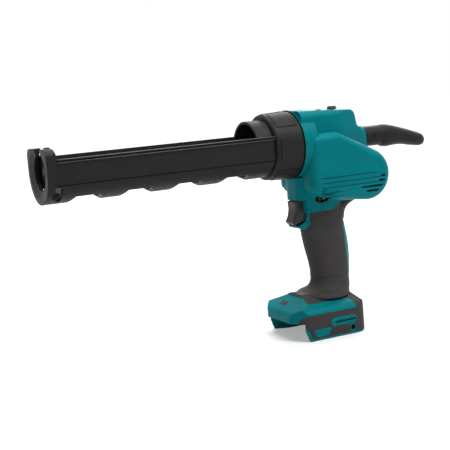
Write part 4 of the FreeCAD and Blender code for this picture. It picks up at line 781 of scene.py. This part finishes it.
def new_piece(name: str, shape: bmesh.types.BMesh, rack: FinishRack,
              finish: Finish) -> bpy.types.Object:
    """Turn a bmesh into a dressed object.

    Args:
        name: The piece's name.
        shape: Its mesh; freed here.
        rack: Where the material comes from.
        finish: Its finish.

    Returns:
        The new object.
    """
    mesh = bpy.data.meshes.new(name)
    shape.to_mesh(mesh)
    shape.free()
    piece = bpy.data.objects.new(name, mesh)
    bpy.context.scene.collection.objects.link(piece)
    rack.dress(piece, finish)
    return piece


class Workpiece:
    """A mesh in the making, in millimetres."""

    def __init__(self) -> None:
        """Start with an empty mesh."""
        self.shape = bmesh.new()

    def everything(self) -> list[bmesh.types.BMElem]:
        """All points, edges and faces of the mesh."""
        return list(self.shape.verts) + list(self.shape.edges) + list(self.shape.faces)

    def soften(self, verts: list[bmesh.types.BMVert], soft: float, segments: int) -> None:
        """Round the sharp edges between some vertices.

        Args:
            verts: The vertices.
            soft: Width of the rounding.
            segments: Steps across the rounding.
        """
        chosen = set(verts)
        edges = [edge for edge in self.shape.edges
                 if chosen.issuperset(edge.verts) and edge.calc_face_angle(0.0) > ROUNDED_BEND]
        bmesh.ops.bevel(self.shape, geom=edges, offset=soft, offset_type="OFFSET",
                        segments=segments, profile=ROUND_PROFILE, affect="EDGES", material=-1,
                        clamp_overlap=True)

    def block(self, low: Triple, high: Triple, soft: float, turn: float = 0.0, axis: str = "Z",
              segments: int = 2) -> None:
        """Add a block with rounded edges.

        Args:
            low: Its lowest corner.
            high: Its highest corner.
            soft: Width of the rounding.
            turn: Turn about its middle, in radians.
            axis: Axis of the turn.
            segments: Steps across the rounding.
        """
        start, end = Vector(low), Vector(high)
        verts = bmesh.ops.create_cube(self.shape, size=1.0)["verts"]
        bmesh.ops.scale(self.shape, vec=end - start, verts=verts)
        bmesh.ops.rotate(self.shape, cent=(0.0, 0.0, 0.0), matrix=Matrix.Rotation(turn, 3, axis),
                         verts=verts)
        bmesh.ops.translate(self.shape, vec=(start + end) / 2.0, verts=verts)
        self.soften(verts, soft, segments)

    def turned(self, outline: list[Pair], base: Triple, axis: Triple, steps: int = 48) -> None:
        """Add a body of revolution.

        Args:
            outline: Pairs of distance along the axis and radius, in order.
            base: Where the axis starts.
            axis: Its direction.
            steps: Steps round.
        """
        frame = Vector(ALONG_Z).rotation_difference(Vector(axis)).to_matrix()
        verts = [self.shape.verts.new(Vector(base) + frame @ Vector((radius, 0.0, along)))
                 for along, radius in outline]
        edges = [self.shape.edges.new(pair) for pair in zip(verts, verts[1:])]
        before = set(self.shape.verts) - set(verts)
        bmesh.ops.spin(self.shape, geom=verts + edges, cent=base, axis=axis, angle=FULL_TURN,
                       steps=steps, use_merge=True, use_duplicate=False)
        made = [vert for vert in self.shape.verts if vert not in before]
        bmesh.ops.remove_doubles(self.shape, verts=made, dist=MERGE_REACH)

    def cut(self, place: Triple, normal: Triple, clear: bool) -> None:
        """Cut the mesh along a plane.

        Args:
            place: A point of the plane.
            normal: The plane's normal.
            clear: Whether what lies beyond the plane is removed.
        """
        bmesh.ops.bisect_plane(self.shape, geom=self.everything(), dist=CUT_REACH,
                               plane_co=place, plane_no=normal, clear_outer=clear)

    def mirrored(self) -> None:
        """Add the mirror image on the tool's other side."""
        bmesh.ops.mirror(self.shape, geom=self.everything(), axis="Y", merge_dist=-1.0)

    def finish(self, name: str, rack: FinishRack, finish: Finish, body: Body,
               slot: str) -> bpy.types.Object:
        """Turn the mesh into a dressed piece that rides on a body.

        Args:
            name: The piece's name.
            rack: Where the material comes from.
            finish: Its finish.
            body: What it moves with.
            slot: The record's material slot; not used.

        Returns:
            The new object.
        """
        bmesh.ops.scale(self.shape, vec=(MM, MM, MM), verts=list(self.shape.verts))
        bmesh.ops.recalc_face_normals(self.shape, faces=list(self.shape.faces))
        for face in self.shape.faces:
            face.smooth = True
        for edge in self.shape.edges:
            edge.smooth = edge.calc_face_angle(0.0) < SMOOTH_BEND
        piece = new_piece(name, self.shape, rack, finish)
        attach(piece, body.value)
        LOG.info("%s rides on %s", name, body.value)
        return piece


# Fine pieces, in millimetres


@dataclass(frozen=True)
class RibPlace:
    """Where a rib lies: its height, its rear end and how far it is set in from the drum's face."""

    level: float
    rear: float
    sink: float = 0.0


@dataclass
class DrumRibs:
    """Fine ribs on the motor drum's sides, in line with its slots, over painted groove shade."""

    face: float = 37.0
    front: float = 4.5
    root: float = 1.2
    rise: float = 0.5
    height: float = 1.3
    soft: float = 0.4
    # Dark strip under each rib, painted groove shade: its drop below the rib, then its rise, lap
    # and rounding
    groove: float = 0.7
    shade_strip_rise: float = 0.05
    shade_strip_lap: float = 0.3
    shade_strip_soft: float = 0.02
    places: tuple[RibPlace, ...] = (
        RibPlace(165.6, -66.0), RibPlace(160.5, -65.0), RibPlace(155.7, -62.0),
        RibPlace(150.6, -40.5, 0.1), RibPlace(146.0, -46.5, 1.4))

    def build(self, rack: FinishRack) -> None:
        """Make the ribs and the strips of painted groove shade of both sides.

        Args:
            rack: Where the materials come from.
        """
        ribs, groove_shade = Workpiece(), Workpiece()
        for place in self.places:
            top = self.face - place.sink
            low, high = place.level - self.height / 2, place.level + self.height / 2
            ribs.block((place.rear, top - self.root, low),
                       (self.front, top + self.rise, high), self.soft)
            # Dark strip under the rib: painted shade of the groove.
            groove_shade.block((place.rear, top - self.root, low - self.groove),
                          (self.front, top + self.shade_strip_rise, low + self.shade_strip_lap),
                          self.shade_strip_soft)
        ribs.mirrored()
        ribs.finish("drum_ribs", rack, Finish.SHELL, Body.TOOL, "shell")
        groove_shade.mirrored()
        groove_shade.finish("drum_groove_painted_shade", rack, Finish.GROOVE_PAINTED_SHADE, Body.TOOL, "shell")


@dataclass
class TopControls:
    """Cap with its collar, and the dial's scale of marks, on top of the barrel.

    The lines of cap and collar give heights over the seat and distances past the radius.
    """

    seat: float = 232.55
    cap_x: float = -18.4
    cap_radius: float = 3.1
    cap_gap: float = 0.15
    cap_line: tuple[Pair, ...] = ((0.1, 0.0), (0.7, 0.0), (1.05, -0.35), (1.2, -1.0))
    cap_top: float = 1.25
    collar_line: tuple[Pair, ...] = ((-0.6, 0.7), (0.35, 0.6), (0.5, 0.35), (0.5, 0.0), (0.2, 0.0))
    collar_top: float = 0.2
    dial_x: float = -35.0
    dial_seat: float = 231.7
    seat_slope: float = 0.051
    scale_radius: float = 8.6
    sweep: float = 240.0
    marks: int = 5
    mark_half_length: float = 0.7
    mark_growth: float = 0.12
    mark_half_width: float = 0.25
    mark_root: float = 0.3
    mark_rise: float = 0.14
    mark_soft: float = 0.06

    def build(self, rack: FinishRack) -> None:
        """Make the collar, the cap and the scale.

        Args:
            rack: Where the materials come from.
        """
        collar = self.round_piece(self.collar_line, self.cap_radius, self.collar_top)
        collar.finish("top_cap_collar", rack, Finish.TRIM, Body.TOOL, "dark_trim")
        cap = self.round_piece(self.cap_line, self.cap_radius - self.cap_gap, self.cap_top)
        cap.finish("top_cap", rack, Finish.GREY, Body.TOOL, "dark_trim")
        scale = Workpiece()
        for mark in range(self.marks):
            self.add_mark(scale, mark)
        scale.finish("dial_scale", rack, Finish.GREY, Body.TOOL, "dark_trim")

    def round_piece(self, line: tuple[Pair, ...], radius: float, top: float) -> Workpiece:
        """Turn a small round piece on the cap's seat.

        Args:
            line: Heights over the seat and distances past the radius, from below.
            radius: The piece's radius.
            top: Height at which its upper face meets the axis.

        Returns:
            The turned mesh.
        """
        side = [(height, radius + past) for height, past in line]
        work = Workpiece()
        work.turned([(line[0][0], 0.0), *side, (top, 0.0)], (self.cap_x, 0.0, self.seat), ALONG_Z)
        return work

    def add_mark(self, scale: Workpiece, mark: int) -> None:
        """Add one mark of the dial's scale, each longer than the one before.

        Args:
            scale: The scale's mesh.
            mark: The mark's number.
        """
        angle = math.radians(180.0 - self.sweep / 2.0 + self.sweep * mark / (self.marks - 1))
        x = self.dial_x - self.scale_radius * math.cos(angle)
        y = self.scale_radius * math.sin(angle)
        seat = self.dial_seat + self.seat_slope * (x - self.dial_x)
        length = self.mark_half_length + self.mark_growth * mark
        scale.block((x - length, y - self.mark_half_width, seat - self.mark_root),
                    (x + length, y + self.mark_half_width, seat + self.mark_rise),
                    self.mark_soft, -angle)


@dataclass
class TroughRims:
    """Twin rim beads with painted shade in their groove, and a painted shadow line over the
    windows.
    """

    start: float = 53.2
    end: float = 277.3
    face: float = 30.4
    low: float = 208.75
    high: float = 212.35
    bead: float = 0.95
    bead_root: float = 0.6
    bead_rise: float = 0.45
    bead_soft: float = 0.3
    bead_steps: int = 3
    shade_strip_lap: float = 0.6
    shade_strip_root: float = 0.4
    shade_strip_rise: float = 0.04
    shade_strip_soft: float = 0.02
    side: float = 29.3
    ledge: float = 188.2
    # Painted shadow line at the ledge: its height, root, rise and rounding
    line: float = 1.1
    line_root: float = 0.5
    line_rise: float = 0.05
    line_soft: float = 0.04

    def build(self, rack: FinishRack) -> None:
        """Make the beads, the painted groove shade and the painted shadow line of both sides.

        Args:
            rack: Where the materials come from.
        """
        beads = Workpiece()
        for low in (self.low, self.high - self.bead):
            beads.block((self.start, self.face - self.bead_root, low),
                        (self.end, self.face + self.bead_rise, low + self.bead),
                        self.bead_soft, segments=self.bead_steps)
        beads.mirrored()
        # Lighter black on the beads: painted highlight of their lit edges.
        beads.finish("rim_beads", rack, Finish.RIM_WITH_PAINTED_HIGHLIGHT, Body.HOLDER, "holder")
        # Inner black strips: painted shade on the groove floor, painted shadow line at the ledge.
        lines = Workpiece()
        lap = self.shade_strip_lap * self.bead
        lines.block((self.start, self.face - self.shade_strip_root, self.low + lap),
                    (self.end, self.face + self.shade_strip_rise, self.high - lap), self.shade_strip_soft)
        lines.block((self.start, self.side - self.line_root, self.ledge - self.line / 2),
                    (self.end, self.side + self.line_rise, self.ledge + self.line / 2),
                    self.line_soft)
        lines.mirrored()
        lines.finish("rim_painted_shade", rack, Finish.INNER_BLACK_AND_PAINTED_SHADE, Body.HOLDER, "holder")


@dataclass(frozen=True)
class PlatePlace:
    """Where a piece lies on the front plate's side, with its angle from the level in degrees."""

    rear: float
    front: float
    height: float
    angle: float


@dataclass
class PlateCatches:
    """Catch and painted slot shade low on each side of the front plate, where it clips to the
    trough.
    """

    inner: float = 29.0
    outer: float = 30.6
    slot_sink: float = 0.15
    soft: float = 0.3
    catch: PlatePlace = PlatePlace(274.6, 279.6, 5.0, -30.0)
    # Where the dark block of painted slot shade lies
    slot: PlatePlace = PlatePlace(275.2, 281.2, 7.4, -47.0)

    def build(self, rack: FinishRack) -> None:
        """Make the catches and the painted slot shade of both sides.

        Args:
            rack: Where the materials come from.
        """
        # Lighter black on the catches: painted highlight.
        catches = self.pair(self.catch, self.outer)
        catches.finish("plate_catches", rack, Finish.RIM_WITH_PAINTED_HIGHLIGHT, Body.HOLDER, "holder")
        # Dark blocks of inner black, set in a little: painted shade of the slots.
        slots = self.pair(self.slot, self.outer - self.slot_sink)
        slots.finish("plate_slot_painted_shade", rack, Finish.INNER_BLACK_AND_PAINTED_SHADE, Body.HOLDER, "holder")

    def pair(self, place: PlatePlace, outer: float) -> Workpiece:
        """Make one form on both sides.

        Args:
            place: Where it lies.
            outer: Distance of its face from the rod's axis.

        Returns:
            The mesh of both.
        """
        angle = math.radians(place.angle)
        middle, half = (self.inner + outer) / 2, (outer - self.inner) / 2
        y, z = middle * math.cos(angle), ROD_AXIS + middle * math.sin(angle)
        work = Workpiece()
        work.block((place.rear, y - half, z - place.height / 2),
                   (place.front, y + half, z + place.height / 2), self.soft, angle, "X")
        work.mirrored()
        return work


@dataclass
class BarrelGapShade:
    """Black ring between the clamping ring and the housing: painted shade of the gap there."""

    rear: float = 20.3
    front: float = 21.3
    bore: float = 30.4
    radius: float = 35.55
    chamfer: float = 0.25
    steps: int = 96

    def build(self, rack: FinishRack) -> None:
        """Make the ring of painted gap shade.

        Args:
            rack: Where its material comes from.
        """
        width, chamfer = self.front - self.rear, self.chamfer
        outline = [(0.0, self.bore), (0.0, self.radius - chamfer), (chamfer, self.radius),
                   (width - chamfer, self.radius), (width, self.radius - chamfer),
                   (width, self.bore), (0.0, self.bore)]
        work = Workpiece()
        work.turned(outline, (self.rear, 0.0, ROD_AXIS), ALONG_X, self.steps)
        # Inner black ring: painted shade of the gap behind the clamping ring.
        work.finish("barrel_gap_painted_shade", rack, Finish.INNER_BLACK_AND_PAINTED_SHADE, Body.TOOL, "rubber")


@dataclass
class LockDishShade:
    """Dark sheets at both ends of the oval dishes that the lock bar slides in: painted shade."""

    middle: Triple = (-4.5, 20.5, 142.4)
    halves: Triple = (8.94, 3.14, 4.44)
    face: float = 19.45
    bar_half: float = 4.1
    wall: float = 0.15
    steps_round: int = 64
    steps_down: int = 32

    def build(self, rack: FinishRack) -> None:
        """Make the sheets of painted shade of both sides.

        Args:
            rack: Where their material comes from.
        """
        work = Workpiece()
        shape = work.shape
        verts = bmesh.ops.create_uvsphere(shape, u_segments=self.steps_round,
                                          v_segments=self.steps_down, radius=1.0)["verts"]
        bmesh.ops.scale(shape, vec=self.halves, verts=verts)
        bmesh.ops.translate(shape, vec=self.middle, verts=verts)
        work.cut((0.0, self.face, 0.0), ALONG_Y, True)
        for side in (-1.0, 1.0):
            work.cut((self.middle[0] + side * self.bar_half, 0.0, 0.0), ALONG_X, False)
        bar = [face for face in shape.faces
               if abs(face.calc_center_median().x - self.middle[0]) < self.bar_half]
        bmesh.ops.delete(shape, geom=bar, context="FACES")
        bmesh.ops.solidify(shape, geom=list(shape.faces), thickness=self.wall)
        work.mirrored()
        # Inner black sheets: painted shade in the dish ends.
        work.finish("lock_dish_painted_shade", rack, Finish.INNER_BLACK_AND_PAINTED_SHADE, Body.TOOL, "dark_trim")


@dataclass
class ReturnSpring:
    """Return spring of the trigger, at rest length; the real one shortens as the trigger is pulled.
    """

    wire: float = 0.7
    radius: float = 4.6
    turns: float = 3.5
    steps_per_turn: int = 40
    sides: int = 10
    travel: float = 6.0
    spare: float = 0.015

    def build(self, rack: FinishRack) -> None:
        """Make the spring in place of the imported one.

        Args:
            rack: Where its material comes from.
        """
        low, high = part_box("trigger_spring")
        length = (high.x - low.x) / MM
        start = Vector((low.x / MM + self.wire / 2, (low.y + high.y) / 2 / MM,
                        (low.z + high.z) / 2 / MM))
        work = self.wind(start, length - self.wire)
        piece = work.finish("return_spring", rack, Finish.STEEL, Body.TOOL, "steel")
        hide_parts("trigger_spring")
        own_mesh(piece)

    def wind(self, start: Vector, rise: float) -> Workpiece:
        """Wind the wire round an axis along X.

        Args:
            start: Where the axis starts.
            rise: Distance along the axis from the first turn to the last.

        Returns:
            The wound wire with closed ends.
        """
        work = Workpiece()
        shape = work.shape
        ring = []
        for number in range(self.sides):
            angle = FULL_TURN * number / self.sides
            offset = Vector((math.cos(angle), 0.0, math.sin(angle))) * (self.wire / 2)
            ring.append(shape.verts.new(start + Vector((0.0, 0.0, self.radius)) + offset))
        edges = [shape.edges.new(pair) for pair in zip(ring, ring[1:] + ring[:1])]
        steps = round(self.turns * self.steps_per_turn)
        bmesh.ops.spin(shape, geom=ring + edges, cent=start, axis=ALONG_X,
                       dvec=(rise / steps, 0.0, 0.0), angle=FULL_TURN * self.turns, steps=steps,
                       use_merge=False, use_duplicate=False)
        ends = [edge for edge in shape.edges if edge.is_boundary]
        bmesh.ops.holes_fill(shape, edges=ends, sides=0)
        return work


# The whole scene


def main() -> None:
    """Load the solids, dress them, add the fine pieces and set up the studio."""
    logging.basicConfig(level=logging.INFO, format="%(message)s")
    for thing in list(bpy.data.objects):
        bpy.data.objects.remove(thing)
    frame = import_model()
    rack = FinishRack()
    dress_solids(frame["nodes"], rack)
    for maker in (DrumRibs(), TopControls(), TroughRims(), PlateCatches(), BarrelGapShade(),
                  LockDishShade(), ReturnSpring(), Studio()):
        maker.build(rack)
    bpy.context.scene.view_settings.view_transform = "Standard"


if __name__ == "__main__":
    main()
